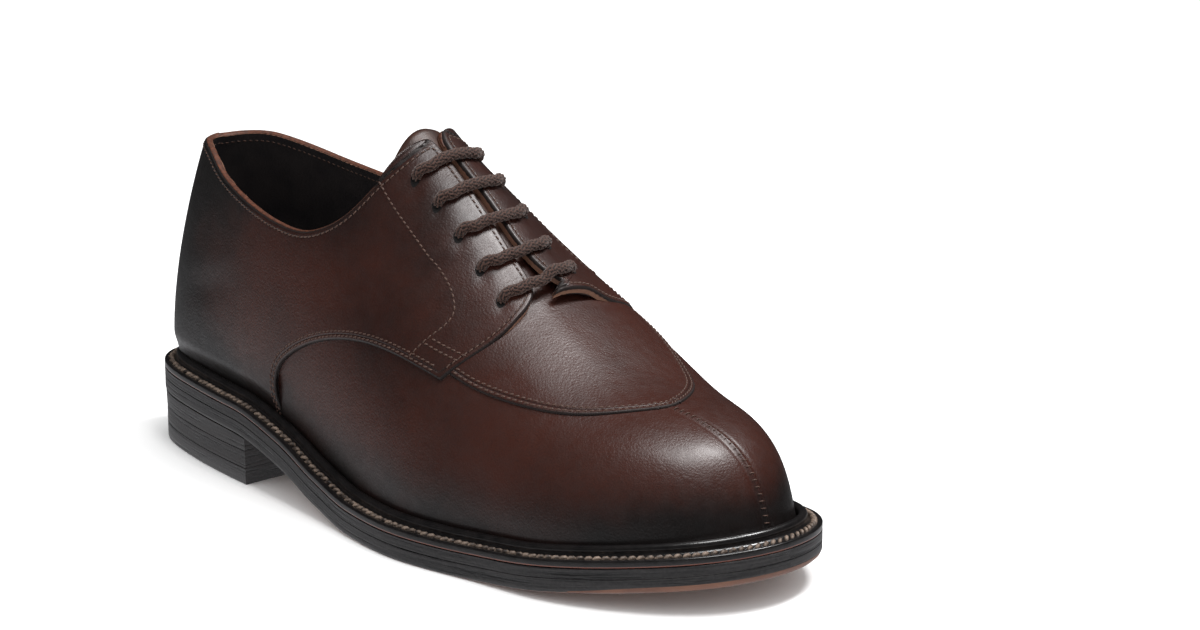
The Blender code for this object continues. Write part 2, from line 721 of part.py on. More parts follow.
def add_upper(tree):
    base = shell("upper", constant(0.0), constant(-WALL), even_rows(ROWS), upper_leather, shoe)
    throat_half = column(THROAT, "half", steady_curve)
    throat = prism("throat", plan_strip(lambda share: THROAT_HALF * throat_half(share),
                                        np.linspace(THROAT[0].at, THROAT[-1].at, 14)),
                   "Z", 0.4 * INSTEP_HEIGHT, CUT_TOP)
    quarters = shell("quarters", *overlay(QUARTER_LAP, facing_lift), raised_rows())
    combine(quarters, front_cutter("front_outer", QUARTER_OUTER, FRONT_OUTER, -SOLE_WIDTH, SLIT_HALF + BURY), "DIFFERENCE")
    combine(quarters, front_cutter("front_inner", QUARTER_INNER, FRONT_INNER, SLIT_HALF - BURY, SOLE_WIDTH), "DIFFERENCE")
    slit = column(SLIT, "half", steady_curve)
    slit_outline = plan_strip(lambda share: SLIT_HALF * slit(share), np.linspace(SLIT[0].at, SLIT[-1].at, 33))
    combine(quarters, prism("slit", slit_outline, "Z", 0.3 * INSTEP_HEIGHT, CUT_TOP), "DIFFERENCE")
    apron = shell("apron", *overlay(APRON_LAP), raised_rows())
    combine(apron, prism("apron_outline", apron_outline(), "Z", 0.2 * INSTEP_HEIGHT, CUT_TOP), "INTERSECT")
    seam = shell("toe_seam", *overlay(SEAM_LAP), raised_rows())
    seam_outline = plan_strip(lambda share: SEAM_WIDTH / 2, (APRON[-1].at - FINE, 0.90, 0.99))
    combine(seam, prism("seam_outline", seam_outline, "Z", 0, CUT_TOP), "INTERSECT")
    combine(base, apron, "UNION")
    combine(base, seam, "UNION")
    combine(base, throat, "DIFFERENCE")
    combine(base, quarters, "UNION")
    combine(base, collar_cutter("collar_outer", COLLAR_OUTER, -SOLE_WIDTH, 2 * BURY), "DIFFERENCE")
    combine(base, collar_cutter("collar_inner", COLLAR_INNER, 0, SOLE_WIDTH), "DIFFERENCE")
    for pair, places in enumerate(eyelet_places(), 1):
        for side, place in zip(("outer", "inner"), places):
            hit, normal = drop(tree, place)
            work = bmesh.new()
            turned = normal.to_track_quat("Z", "Y").to_matrix().to_4x4()
            turned.translation = hit
            bmesh.ops.create_cone(work, cap_ends=True, segments=12, radius1=EYELET_RADIUS, radius2=EYELET_RADIUS,
                                  depth=EYELET_DEPTH, matrix=turned)
            hole = f"eyelet_{side}_{pair}"
            combine(base, add_object(hole, mesh_from(hole, work), collection=tools), "DIFFERENCE")
    return base


def add_tongue():
    """Strip of the upper's surface under the facings, raised along its middle."""
    tree = search_tree(upper_grid(4 * STEPS, even_rows(6 * ROWS))[0])
    rows, across = TONGUE_STEPS, TONGUE_ROWS
    x = np.linspace(float(length_at(TONGUE_BACK)), float(length_at(TONGUE_FRONT)), rows + 1)
    spread = np.linspace(-1, 1, across + 1)
    work = bmesh.new()
    sheets = [[], []]
    for at in x:
        share = float(share_of(at))
        middle = float(ridge_at(at)[0])
        half = TONGUE_HALF * (1 - TONGUE_NARROWING * float(smooth_step(share, 0.60, TONGUE_FRONT)))
        for sheet in sheets:
            sheet.append([])
        for place in spread:
            hit, normal = drop(tree, Vector((at, middle + place * half, 0)))
            rise = TONGUE_RISE * (1 - float(smooth_step(abs(place * half), 0.2 * RISE_HALF, RISE_HALF)))
            rise *= 1 - float(smooth_step(share, THROAT[1].at, THROAT[2].at))
            top = hit + normal * (rise - WALL - 2 * GAP)
            sheets[0][-1].append(work.verts.new(top))
            sheets[1][-1].append(work.verts.new(top - normal * TONGUE_THICK))
    for sheet in sheets:
        for i in range(rows):
            for j in range(across):
                work.faces.new((sheet[i][j], sheet[i + 1][j], sheet[i + 1][j + 1], sheet[i][j + 1]))
    rim = [(i, 0) for i in range(rows)] + [(rows, j) for j in range(across)]
    rim += [(i, across) for i in range(rows, 0, -1)] + [(0, j) for j in range(across, 0, -1)]
    for (a, b), (c, d) in zip(rim, rim[1:] + rim[:1]):
        work.faces.new((sheets[0][a][b], sheets[0][c][d], sheets[1][c][d], sheets[1][a][b]))
    bmesh.ops.triangulate(work, faces=work.faces)
    return add_object("tongue", mesh_from("tongue", work), tongue_leather)


def add_lace_bars(tree):
    """Straight crossings between the pairs of eyelets; each end turns down into its hole."""
    for number, (outer, inner) in enumerate(eyelet_places(), 1):
        ends = [drop(tree, outer), drop(tree, inner)]
        across = (ends[1][0] - ends[0][0]).normalized()
        route = []
        for (hit, normal), sign in zip(ends, (1, -1)):
            flat = (across * sign - normal * (across * sign).dot(normal)).normalized()
            dip = [hit - normal * LACE_DIP]
            for angle in (0, 30, 60, 90):
                a = math.radians(angle)
                dip.append(hit + flat * (LACE_BEND * (1 - math.cos(a))) + normal * (LACE_BEND * math.sin(a)))
            route.append(dip)
        middle = []
        start, stop = route[0][-1], route[1][-1]
        for share in np.linspace(0, 1, BAR_STEPS + 1)[1:-1]:
            place = start.lerp(stop, float(share))
            place.x += LACE_BOW * math.sin(math.pi * share)
            hit, normal = drop(tree, place)
            middle.append(hit + normal * LACE_BEND)
        path = route[0] + middle + route[1][::-1]
        curve = bpy.data.curves.new("lace_route", "CURVE")
        curve.dimensions = "3D"
        curve.bevel_depth = LACE_RADIUS
        curve.bevel_resolution = 2
        curve.use_fill_caps = True
        line = curve.splines.new("POLY")
        line.points.add(len(path) - 1)
        for point, place in zip(line.points, path):
            point.co = (*place, 1)
        route_object = bpy.data.objects.new("lace_route", curve)
        shoe.objects.link(route_object)
        bpy.context.view_layer.update()
        ready = route_object.evaluated_get(bpy.context.evaluated_depsgraph_get())
        mesh = bpy.data.meshes.new_from_object(ready)
        work = bmesh.new()
        work.from_mesh(mesh)
        bmesh.ops.remove_doubles(work, verts=work.verts, dist=1e-6)
        bmesh.ops.triangulate(work, faces=work.faces)
        bpy.data.objects.remove(route_object, do_unlink=True)
        add_object(f"lace_bar_{number}", mesh_from(f"lace_bar_{number}", work), lace_cotton)


facings = facing_surface()
add_outsole()
add_midsole()
add_heel()
add_insole()
add_welt()
add_upper(facings)
add_tongue()
add_lace_bars(facings)
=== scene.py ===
# Apron toe derby, right shoe: leather, stitching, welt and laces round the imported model
import math
import bpy
import numpy as np
from mathutils import Matrix, Vector
from mathutils.kdtree import KDTree


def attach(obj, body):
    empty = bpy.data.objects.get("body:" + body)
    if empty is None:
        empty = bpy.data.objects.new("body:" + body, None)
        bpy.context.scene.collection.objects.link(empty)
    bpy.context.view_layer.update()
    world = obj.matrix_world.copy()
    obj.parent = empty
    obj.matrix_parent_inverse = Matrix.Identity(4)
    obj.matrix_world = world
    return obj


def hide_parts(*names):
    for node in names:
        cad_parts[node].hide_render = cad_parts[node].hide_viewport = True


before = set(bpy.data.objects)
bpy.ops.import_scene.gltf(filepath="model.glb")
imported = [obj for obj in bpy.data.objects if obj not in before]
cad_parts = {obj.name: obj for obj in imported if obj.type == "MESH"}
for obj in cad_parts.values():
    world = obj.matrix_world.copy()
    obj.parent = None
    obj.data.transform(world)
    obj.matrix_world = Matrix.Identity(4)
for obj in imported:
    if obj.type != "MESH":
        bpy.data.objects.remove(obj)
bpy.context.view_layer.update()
print("frame loaded:", len(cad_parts), "nodes")

# the last and the bottom, in metres
shoe = {
    "soleLength": 0.308, "soleWidth": 0.108, "heelLength": 0.082, "heelHeight": 0.019,
    "toeSpring": 0.0105, "instepHeight": 0.118, "toeShift": 0.0088,
    "outsole": 0.0049, "midsole": 0.0033, "welt": 0.0026, "insole": 0.0025,
    "topPiece": 0.0060, "lift": 0.0062, "gap": 0.0003, "weltMargin": 0.0082,
    "heelPivot": 0.135, "toePivot": 0.83, "pivotBlend": 0.006, "edgeRound": 0.0005,
    "wall": 0.0015, "toeBevel": 0.0016,
}
heelBack = -shoe["heelLength"] / 2
midsoleTop = shoe["outsole"] + shoe["midsole"] + shoe["gap"]
weltBottom = midsoleTop + shoe["gap"]

# the step that slopes on the surface are taken over
fine = 1e-4

# share of the length; outer and inner half as shares of the width
soleOutline = [
    (0.03, 0.160, 0.190), (0.12, 0.266, 0.320), (0.24, 0.334, 0.352), (0.36, 0.380, 0.322),
    (0.48, 0.446, 0.366), (0.60, 0.502, 0.452), (0.70, 0.483, 0.487), (0.80, 0.469, 0.481),
    (0.90, 0.382, 0.400), (0.97, 0.237, 0.249),
]
# share of the length; height as shares of heel height and toe spring
soleBottom = [
    (0.00, 1.00, 0.0), (0.12, 1.00, 0.0), (0.24, 0.965, 0.0), (0.34, 0.66, 0.0), (0.42, 0.26, 0.0),
    (0.50, 0.03, 0.0), (0.58, 0.0, 0.0), (0.66, 0.0, 0.0), (0.75, 0.0, 0.12), (0.85, 0.0, 0.44),
    (0.93, 0.0, 0.74), (1.00, 0.0, 1.0),
]
# share of the length, ridge height, ridge offset, then outer and inner swell, its height, crown width
lastSections = [
    (0.00, 1.120, 0.0000, 0.0062, 0.0066, 0.300, 0.330, 0.200, 0.250),
    (0.12, 1.190, 0.0004, 0.0050, 0.0060, 0.345, 0.420, 0.365, 0.450),
    (0.25, 1.335, 0.0007, 0.0080, 0.0092, 0.392, 0.420, 0.560, 0.570),
    (0.36, 1.325, 0.0010, 0.0085, 0.0154, 0.425, 0.485, 0.570, 0.580),
    (0.46, 1.112, 0.0014, 0.0075, 0.0246, 0.505, 0.690, 0.490, 0.625),
    (0.54, 0.952, 0.0011, 0.0064, 0.0280, 0.503, 0.745, 0.486, 0.655),
    (0.62, 0.764, 0.0008, 0.0064, 0.0325, 0.522, 0.812, 0.522, 0.708),
    (0.70, 0.628, 0.0005, 0.0053, 0.0280, 0.579, 0.832, 0.579, 0.744),
    (0.78, 0.522, 0.0003, 0.0039, 0.0180, 0.640, 0.812, 0.640, 0.757),
    (0.86, 0.480, 0.0000, 0.0013, 0.0064, 0.685, 0.795, 0.688, 0.770),
    (1.00, 0.433, 0.0000, -0.0044, -0.0083, 0.719, 0.733, 0.725, 0.741),
]


def naturalCurve(knots, values):
    knots = np.array(knots, float)
    values = np.array(values, float)
    count = len(knots)
    step = np.diff(knots)
    system = np.eye(count)
    right = np.zeros(count)
    for i in range(1, count - 1):
        system[i, i - 1:i + 2] = step[i - 1], 2 * (step[i - 1] + step[i]), step[i]
        right[i] = 6 * ((values[i + 1] - values[i]) / step[i] - (values[i] - values[i - 1]) / step[i - 1])
    bend = np.linalg.solve(system, right)

    def curve(at):
        at = np.asarray(at, float)
        k = np.clip(np.searchsorted(knots, at) - 1, 0, count - 2)
        low, high, width = at - knots[k], knots[k + 1] - at, step[k]
        return ((bend[k] * high ** 3 + bend[k + 1] * low ** 3) / (6 * width)
                + (values[k] / width - bend[k] * width / 6) * high
                + (values[k + 1] / width - bend[k + 1] * width / 6) * low)
    return curve


def steadyCurve(knots, values):
    knots = np.array(knots, float)
    values = np.array(values, float)
    step = np.diff(knots)
    slope = np.diff(values) / step
    tangent = np.zeros(len(knots))
    for i in range(1, len(knots) - 1):
        if slope[i - 1] * slope[i] > 0:
            before, after = 2 * step[i] + step[i - 1], step[i] + 2 * step[i - 1]
            tangent[i] = (before + after) / (before / slope[i - 1] + after / slope[i])
    tangent[0], tangent[-1] = slope[0], slope[-1]

    def curve(at):
        at = np.clip(np.asarray(at, float), knots[0], knots[-1])
        k = np.clip(np.searchsorted(knots, at) - 1, 0, len(knots) - 2)
        t = (at - knots[k]) / step[k]
        return ((2 * t ** 3 - 3 * t ** 2 + 1) * values[k] + (t ** 3 - 2 * t ** 2 + t) * step[k] * tangent[k]
                + (3 * t ** 2 - 2 * t ** 3) * values[k + 1] + (t ** 3 - t ** 2) * step[k] * tangent[k + 1])
    return curve


def smoothStep(value, low, high):
    t = np.clip((value - low) / (high - low), 0, 1)
    return t * t * (3 - 2 * t)


def shareOf(x):
    return (np.asarray(x, float) - heelBack) / shoe["soleLength"]


def lengthAt(share):
    return heelBack + np.asarray(share, float) * shoe["soleLength"]


def columnOf(table, k, curve=naturalCurve):
    return curve([row[0] for row in table], [row[k] for row in table])


def halfOutline(k):
    knots = [math.acos(1 - 2 * row[0]) / math.pi for row in soleOutline]
    values = [row[k] * shoe["soleWidth"] for row in soleOutline]
    return naturalCurve([-knots[0], 0] + knots + [1, 2 - knots[-1]],
                        [-values[0], 0] + values + [0, -values[-1]])


outerHalf, innerHalf = halfOutline(1), halfOutline(2)
heelRise, toeRise = columnOf(soleBottom, 1, steadyCurve), columnOf(soleBottom, 2, steadyCurve)
ridgeCurve, offsetCurve = columnOf(lastSections, 1), columnOf(lastSections, 2)
sideCurves = {name: (columnOf(lastSections, k), columnOf(lastSections, k + 1))
              for name, k in (("swell", 3), ("rise", 5), ("crown", 7))}


def centreY(x):
    return shoe["toeShift"] * np.clip((shareOf(x) - 0.45) / 0.55, 0, 1) ** 2


def underside(x):
    share = np.clip(shareOf(x), 0, 1)
    return shoe["heelHeight"] * heelRise(share) + shoe["toeSpring"] * toeRise(share)


def ridgeAt(x):
    share = shareOf(x)
    return centreY(x) + offsetCurve(share), ridgeCurve(share) * shoe["instepHeight"]


def softLimit(x):
    low, high = float(lengthAt(shoe["heelPivot"])), float(lengthAt(shoe["toePivot"]))
    blend = shoe["pivotBlend"]
    x = low + blend * np.log1p(np.exp((x - low) / blend))
    x = high - blend * np.log1p(np.exp((high - x) / blend))
    x = np.where(x - low < shoe["edgeRound"], low, x)
    return np.where(high - x < shoe["edgeRound"], high, x)


def soleEdge(u, inset):
    # the sole's edge round the shoe: u runs from -1 at the toe along the outer side, 0 at the heel, to 1
    u = np.asarray(u, float)
    side, t = np.where(u < 0, -1.0, 1.0), np.abs(u)

    def place(at):
        half = np.where(side < 0, outerHalf(at), innerHalf(at))
        x = lengthAt((1 - np.cos(np.pi * at)) / 2)
        return np.stack([x, centreY(x) + side * half], -1)
    run = unit(place(t + fine) - place(t - fine))
    inward = np.stack([run[..., 1], -run[..., 0]], -1) * side[..., None]
    return place(t) + inward * inset


def lastSurface(u, v):
    # the surface of the last: v climbs from the feather edge to the ridge
    u, v = np.broadcast_arrays(np.asarray(u, float), np.asarray(v, float))
    x = lengthAt((1 - np.cos(np.pi * np.abs(u))) / 2)
    midX = softLimit(x)
    midY, top = ridgeAt(midX)
    slope = (ridgeAt(midX + fine)[1] - ridgeAt(midX - fine)[1]) / (2 * fine)
    feather = soleEdge(u, shoe["weltMargin"])
    away = feather - np.stack([midX, midY], -1)
    reach = np.linalg.norm(away, axis=-1)
    away = away / reach[..., None]
    share = shareOf(x)
    outer = 0.5 - 0.5 * away[..., 1]
    swell, rise, crown = (outer * sideCurves[name][0](share) + (1 - outer) * sideCurves[name][1](share)
                          for name in ("swell", "rise", "crown"))
    foot = underside(feather[..., 0]) + weltBottom
    blend = (1 - v) ** 3, 3 * v * (1 - v) ** 2, 3 * v * v * (1 - v), v ** 3
    along = reach * blend[0] + (reach + swell) * blend[1] + crown * reach * blend[2]
    high = (foot * blend[0] + (foot + rise * (top + slope * away[..., 0] * reach * 0.5 - foot)) * blend[1]
            + (top + slope * away[..., 0] * crown * reach) * blend[2] + top * blend[3])
    return np.stack([midX + away[..., 0] * along, midY + away[..., 1] * along, high], -1)


def lastNormal(u, v):
    u, v = np.broadcast_arrays(np.asarray(u, float), np.asarray(v, float))
    low = np.clip(v, fine, 0.985)
    across = lastSurface(u + fine, low) - lastSurface(u - fine, low)
    climb = lastSurface(u, low + fine) - lastSurface(u, low - fine)
    normal = unit(-np.cross(across, climb))
    midX = softLimit(lengthAt((1 - np.cos(np.pi * np.abs(u))) / 2))
    slope = (ridgeAt(midX + fine)[1] - ridgeAt(midX - fine)[1]) / (2 * fine)
    crest = unit(np.stack([-slope, 0 * slope, np.ones_like(slope)], -1))
    near = smoothStep(v, 0.95, 1.0)[..., None]
    return unit(normal * (1 - near) + crest * near)


def skin(u, v, lift):
    places = lastSurface(u, v)
    height = lift(places) if callable(lift) else lift
    return places + lastNormal(u, v) * np.asarray(height)[..., None]


def surfaceAt(line):
    return lastSurface(line[..., 0], line[..., 1])


def normalAt(line):
    return lastNormal(line[..., 0], line[..., 1])


def placesOf(line, lift=0.0):
    return skin(line[..., 0], line[..., 1], lift)


def unit(arrows):
    return arrows / np.linalg.norm(arrows, axis=-1, keepdims=True)


class Finder:
    # finds the place on the raised surface that is seen at a given point from the side or from above
    def __init__(self, side, axes, lift, low=0.0):
        self.side, self.axes, self.lift, self.low = side, list(axes), lift, low
        turns, heights = side * np.linspace(0.0, 1.0, 181), np.linspace(low + 0.01, 1.0, 100)
        self.u, self.v = np.meshgrid(turns, heights, indexing="ij")
        flat = skin(self.u, self.v, lift)[..., self.axes].reshape(-1, 2)
        self.tree = KDTree(len(flat))
        for k, place in enumerate(flat):
            self.tree.insert((place[0], place[1], 0), k)
        self.tree.balance()

    def find(self, targets):
        targets = np.asarray(targets, float)
        first = [self.tree.find((a, b, 0))[1] for a, b in targets]
        u, v = self.u.ravel()[first].copy(), self.v.ravel()[first].copy()
        for _ in range(7):
            here = skin(u, v, self.lift)[:, self.axes]
            byU = (skin(u + fine, v, self.lift)[:, self.axes] - here) / fine
            byV = (here - skin(u, v - fine, self.lift)[:, self.axes]) / fine
            miss = targets - here
            size = byU[:, 0] * byV[:, 1] - byU[:, 1] * byV[:, 0]
            size = np.where(np.abs(size) < 1e-7, 1e-7, size)
            stepU = (miss[:, 0] * byV[:, 1] - miss[:, 1] * byV[:, 0]) / size
            stepV = (byU[:, 0] * miss[:, 1] - byU[:, 1] * miss[:, 0]) / size
            u = u + np.clip(stepU, -0.02, 0.02)
            v = np.clip(v + np.clip(stepV, -0.04, 0.04), self.low, 1.0)
            u = np.clip(u * self.side, 0.0, 1.0) * self.side
        return np.stack([u, v], -1)


def planFinders(lift):
    # seen from above: the wall's lower part is left out, since it lies under the upper part
    return {side: Finder(side, (0, 1), lift, 0.45) for side in (-1, 1)}


def runLength(path):
    return np.concatenate([[0], np.cumsum(np.linalg.norm(np.diff(path, axis=0), axis=1))])


def resample(path, count, lengths=None):
    run = runLength(path) if lengths is None else lengths
    at = np.linspace(0, run[-1], count)
    return np.stack([np.interp(at, run, path[:, k]) for k in range(path.shape[1])], -1)


def smoothPath(points, steps=12):
    points = np.array(points, float)
    run = runLength(points)
    spans = [np.linspace(a, b, steps, endpoint=False) for a, b in zip(run[:-1], run[1:])]
    along = np.concatenate(spans + [run[-1:]])
    return np.stack([naturalCurve(run, points[:, k])(along) for k in range(points.shape[1])], -1)


def shifted(line, distance):
    # a line on the surface, moved sideways by a real distance; positive is to the left of its run
    place = surfaceAt(line)
    run = np.gradient(place, axis=0)
    run /= np.maximum(np.linalg.norm(run, axis=1, keepdims=True), 1e-12)
    goal = place + np.cross(normalAt(line), run) * distance
    for _ in range(2):
        place = surfaceAt(line)
        byU = (lastSurface(line[:, 0] + fine, line[:, 1]) - place) / fine
        byV = (place - lastSurface(line[:, 0], line[:, 1] - fine)) / fine
        miss = goal - place
        a, b, c = (byU * byU).sum(1), (byU * byV).sum(1), (byV * byV).sum(1)
        p, q = (byU * miss).sum(1), (byV * miss).sum(1)
        size = np.maximum(a * c - b * b, 1e-12)
        line = line + np.stack([(p * c - q * b) / size, (a * q - b * p) / size], -1)
        line[:, 1] = np.clip(line[:, 1], 0, 1)
    return line


# lines on the upper, seen from the side: shares of the length and of the instep height
collarLine = {
    -1: [(-0.050, 1.000), (0.020, 0.996), (0.081, 0.988), (0.119, 0.965), (0.148, 0.927), (0.204, 0.880),
         (0.258, 0.852), (0.318, 0.831), (0.361, 0.833), (0.387, 0.853), (0.413, 0.889), (0.433, 0.938),
         (0.447, 0.988), (0.459, 1.030), (0.470, 1.072), (0.477, 1.110), (0.484, 1.170)],
    1: [(-0.050, 1.000), (0.020, 0.996), (0.081, 0.989), (0.109, 0.990), (0.134, 0.980), (0.177, 0.955),
        (0.216, 0.932), (0.288, 0.906), (0.338, 0.898), (0.378, 0.910), (0.408, 0.940), (0.430, 0.985),
        (0.446, 1.035), (0.458, 1.080), (0.468, 1.120), (0.477, 1.170)],
}
seamLine = {
    -1: [(0.322, 0.160), (0.319, 0.230), (0.316, 0.300), (0.315, 0.350), (0.323, 0.400), (0.343, 0.446),
         (0.375, 0.493), (0.426, 0.541), (0.485, 0.566), (0.530, 0.565), (0.574, 0.548), (0.617, 0.520)],
    1: [(0.322, 0.160), (0.318, 0.230), (0.315, 0.300), (0.314, 0.355), (0.322, 0.410), (0.343, 0.462),
        (0.375, 0.510), (0.426, 0.558), (0.485, 0.582), (0.530, 0.582), (0.574, 0.570), (0.614, 0.545)],
}
frontLine = {
    -1: [(0.617, 0.520), (0.636, 0.575), (0.654, 0.630), (0.661, 0.670), (0.662, 0.710), (0.661, 0.800)],
    1: [(0.614, 0.545), (0.637, 0.600), (0.655, 0.650), (0.662, 0.690), (0.663, 0.730), (0.662, 0.800)],
}
# share of the length, half width of the slit between the facings in metres
slitLine = [
    (0.440, 0.0110), (0.458, 0.0075), (0.470, 0.0036), (0.482, 0.0018), (0.500, 0.0014), (0.560, 0.0019),
    (0.600, 0.0023), (0.630, 0.0029), (0.645, 0.0042), (0.655, 0.0070), (0.662, 0.0110), (0.680, 0.0200),
]
# share of the length, outer and inner half widths as shares of the sole's width
apronLine = [
    (0.590, 0.338, 0.430), (0.640, 0.330, 0.415), (0.680, 0.313, 0.393), (0.720, 0.289, 0.357),
    (0.760, 0.252, 0.302), (0.795, 0.193, 0.232), (0.822, 0.110, 0.132), (0.834, 0.048, 0.056),
]
apronTip = 0.8375

overlays = {
    "quarterLap": 0.0014, "apronLap": 0.0008, "facingLift": 0.0026, "facingWidth": 0.0280,
    "fadeStart": 0.006, "fadeEnd": 0.013, "roll": 0.0009, "heelGap": 0.0012, "collarStart": 40,
}


def offCentre(places):
    return np.abs(places[..., 1] - ridgeAt(places[..., 0])[0])


def fade(places):
    above = places[..., 2] - underside(places[..., 0]) - weltBottom
    return smoothStep(above, overlays["fadeStart"], overlays["fadeEnd"])


def facingRise(places):
    width = overlays["facingWidth"]
    return overlays["facingLift"] * (1 - smoothStep(offCentre(places), 0.2 * width, width))


# the inner facing's front corner stands off the vamp, the outer one a little
cornerLift = {"innerRise": 0.0030, "outerRise": 0.0006, "back": 0.575, "front": 0.655, "edge": 0.034}


def cornerRise(places):
    share = shareOf(places[..., 0])
    toInner = places[..., 1] - ridgeAt(places[..., 0])[0]
    along = smoothStep(share, cornerLift["back"], cornerLift["front"])
    wide = cornerLift["edge"]
    inner = along * (1 - smoothStep(toInner, 0.4 * wide, wide)) * smoothStep(toInner, -0.001, 0.003)
    outer = along * (1 - smoothStep(-toInner, 0.3 * wide, wide)) * smoothStep(-toInner, -0.003, 0.001)
    return cornerLift["innerRise"] * inner + cornerLift["outerRise"] * outer


# laces: places of the eyelets, bends of the path, and the braid
laces = {
    "count": 5, "topShare": 0.491, "frontShare": 0.636, "setback": 0.0125, "radius": 0.00178,
    "bend": 0.0022, "dip": 0.0016, "bow": 0.0016, "rings": 300, "sides": 28, "strands": 8,
    "plait": 0.0031, "relief": 0.00042,
    "dentDepth": 0.00035, "dentRadius": 0.0024,
}


def eyeletPlan():
    half = columnOf(slitLine, 1, steadyCurve)
    share = np.linspace(laces["topShare"], laces["frontShare"], laces["count"])
    x = lengthAt(share)
    reach = half(share) + laces["setback"]
    middle = ridgeAt(x)[0]
    return np.stack([x, middle - reach], -1), np.stack([x, middle + reach], -1)


eyelets = np.vstack(eyeletPlan())


def eyeletDent(places):
    away = ((places[..., None, :2] - eyelets) ** 2).sum(-1)
    return laces["dentDepth"] * np.exp(-away / laces["dentRadius"] ** 2).sum(-1)


# soft folds from trying on: share of the length, height share, side, slope, half length, half width, depth
folds = [
    (0.470, 0.730, -1, -0.50, 0.016, 0.0040, 0.00040), (0.500, 0.670, -1, -0.45, 0.014, 0.0035, 0.00030),
    (0.555, 0.790, -1, 0.25, 0.010, 0.0030, 0.00028), (0.640, 0.400, -1, 0.90, 0.018, 0.0050, 0.00040),
    (0.668, 0.380, -1, 0.80, 0.016, 0.0045, 0.00030), (0.640, 0.430, 1, 0.85, 0.018, 0.0050, 0.00040),
    (0.470, 0.740, 1, -0.50, 0.016, 0.0040, 0.00035), (0.160, 0.560, -1, 0.30, 0.020, 0.0060, 0.00035),
    (0.170, 0.580, 1, 0.30, 0.020, 0.0060, 0.00035),
]


def foldRelief(places):
    x, z = places[..., 0], places[..., 2]
    toInner = places[..., 1] - ridgeAt(x)[0]
    total = np.zeros(x.shape)
    for share, height, side, slope, length, width, depth in folds:
        turn = math.atan(slope)
        dx, dz = x - float(lengthAt(share)), z - height * shoe["instepHeight"]
        along = dx * math.cos(turn) + dz * math.sin(turn)
        across = dz * math.cos(turn) - dx * math.sin(turn)
        near = np.exp(-(along / length) ** 2) * (side * toInner > 0)
        crest = np.exp(-((across - 1.6 * width) / width) ** 2)
        total += depth * near * (0.45 * crest - np.exp(-(across / width) ** 2))
    return total


def quarterLift(places):
    return facingRise(places) + cornerRise(places) - eyeletDent(places) + foldRelief(places)


def quarterTop(places):
    return overlays["quarterLap"] * fade(places) + quarterLift(places)


def sideTable(table):
    return smoothPath([(float(lengthAt(a)), h * shoe["instepHeight"]) for a, h in table])


def crossing(first, second):
    # indices where two lines on the surface come closest
    gap = np.linalg.norm(first[:, None] - second[None], axis=-1)
    return np.unravel_index(np.argmin(gap), gap.shape)


sideFinder = {side: Finder(side, (0, 2), quarterTop) for side in (-1, 1)}
topFinder, baseFinder = planFinders(quarterTop), planFinders(0.0)


def quarterEdges(side):
    # the upper edge from the heel over the facing to the tip, and the lower seam from the tip to the welt
    sideView = sideFinder[side]
    collar = sideTable(collarLine[side])
    at = np.linspace(0.0, 1.0, 400)
    back = skin(0 * at, at, quarterTop)
    start = at[np.argmin(np.abs(back[:, 2] - np.interp(back[:, 0], collar[:, 0], collar[:, 1])))]
    backX = float(np.interp(start, at, back[:, 0]))
    collar = sideView.find(collar[collar[:, 0] > backX + overlays["heelGap"]])
    collar = np.vstack([[0.0, start], collar])
    share = np.linspace(slitLine[0][0], slitLine[-1][0], 160)
    half = columnOf(slitLine, 1, steadyCurve)(share)
    x = lengthAt(share)
    slit = topFinder[side].find(np.stack([x, ridgeAt(x)[0] + side * half], -1))
    front = sideView.find(sideTable(frontLine[side]))
    first = overlays["collarStart"]
    i, j = crossing(collar[first:], slit)
    k, m = crossing(slit, front)
    edge = np.vstack([collar[:first + i], slit[j:k], front[:m][::-1]])
    seam = sideView.find(sideTable(seamLine[side]))
    foot = np.array([[seam[0, 0], 0.0]])
    seam = np.vstack([foot, seam])[::-1]
    return rounded(edge), rounded(seam)


def eased(line, passes):
    for _ in range(passes):
        line[1:-1] = 0.25 * line[:-2] + 0.5 * line[1:-1] + 0.25 * line[2:]
    return line


def rounded(line, count=700, passes=14):
    # even spacing along the real length, with corners eased
    return eased(resample(line, count, runLength(surfaceAt(line))), passes)


def meshPiece(name, points, faces, finish, values=None, sharp=None):
    # points that no face uses are left out
    points = np.asarray(points, float).reshape(-1, 3)
    used = np.zeros(len(points), bool)
    used[[k for face in faces for k in face]] = True
    order = np.cumsum(used) - 1
    mesh = bpy.data.meshes.new(name)
    mesh.from_pydata(points[used].tolist(), [], [[int(order[k]) for k in face] for face in faces])
    mesh.validate()
    mesh.shade_smooth()
    if sharp:
        mesh.set_sharp_from_angle(angle=math.radians(sharp))
    for key, numbers in (values or {}).items():
        layer = mesh.attributes.new(key, "FLOAT", "POINT")
        layer.data.foreach_set("value", np.ascontiguousarray(np.asarray(numbers, np.float32).ravel()[used]))
    mesh.materials.append(finish)
    piece = bpy.data.objects.new(name, mesh)
    bpy.context.scene.collection.objects.link(piece)
    return piece


def gridFaces(rows, columns, wrap=False, flip=False, start=0):
    i, j = np.meshgrid(np.arange(rows if wrap else rows - 1), np.arange(columns - 1), indexing="ij")
    i, j = i.ravel(), j.ravel()
    k = start + i * columns + j
    m = start + ((i + 1) % rows) * columns + j
    faces = np.stack([k, m, m + 1, k + 1], 1)
    return (faces[:, ::-1] if flip else faces).tolist()


def joinGrids(parts):
    # stacks (points, faces) pairs into one mesh
    points, faces, count = [], [], 0
    for some, them in parts:
        points.append(some)
        faces += [[k + count for k in face] for face in them]
        count += len(some)
    return np.concatenate(points), faces


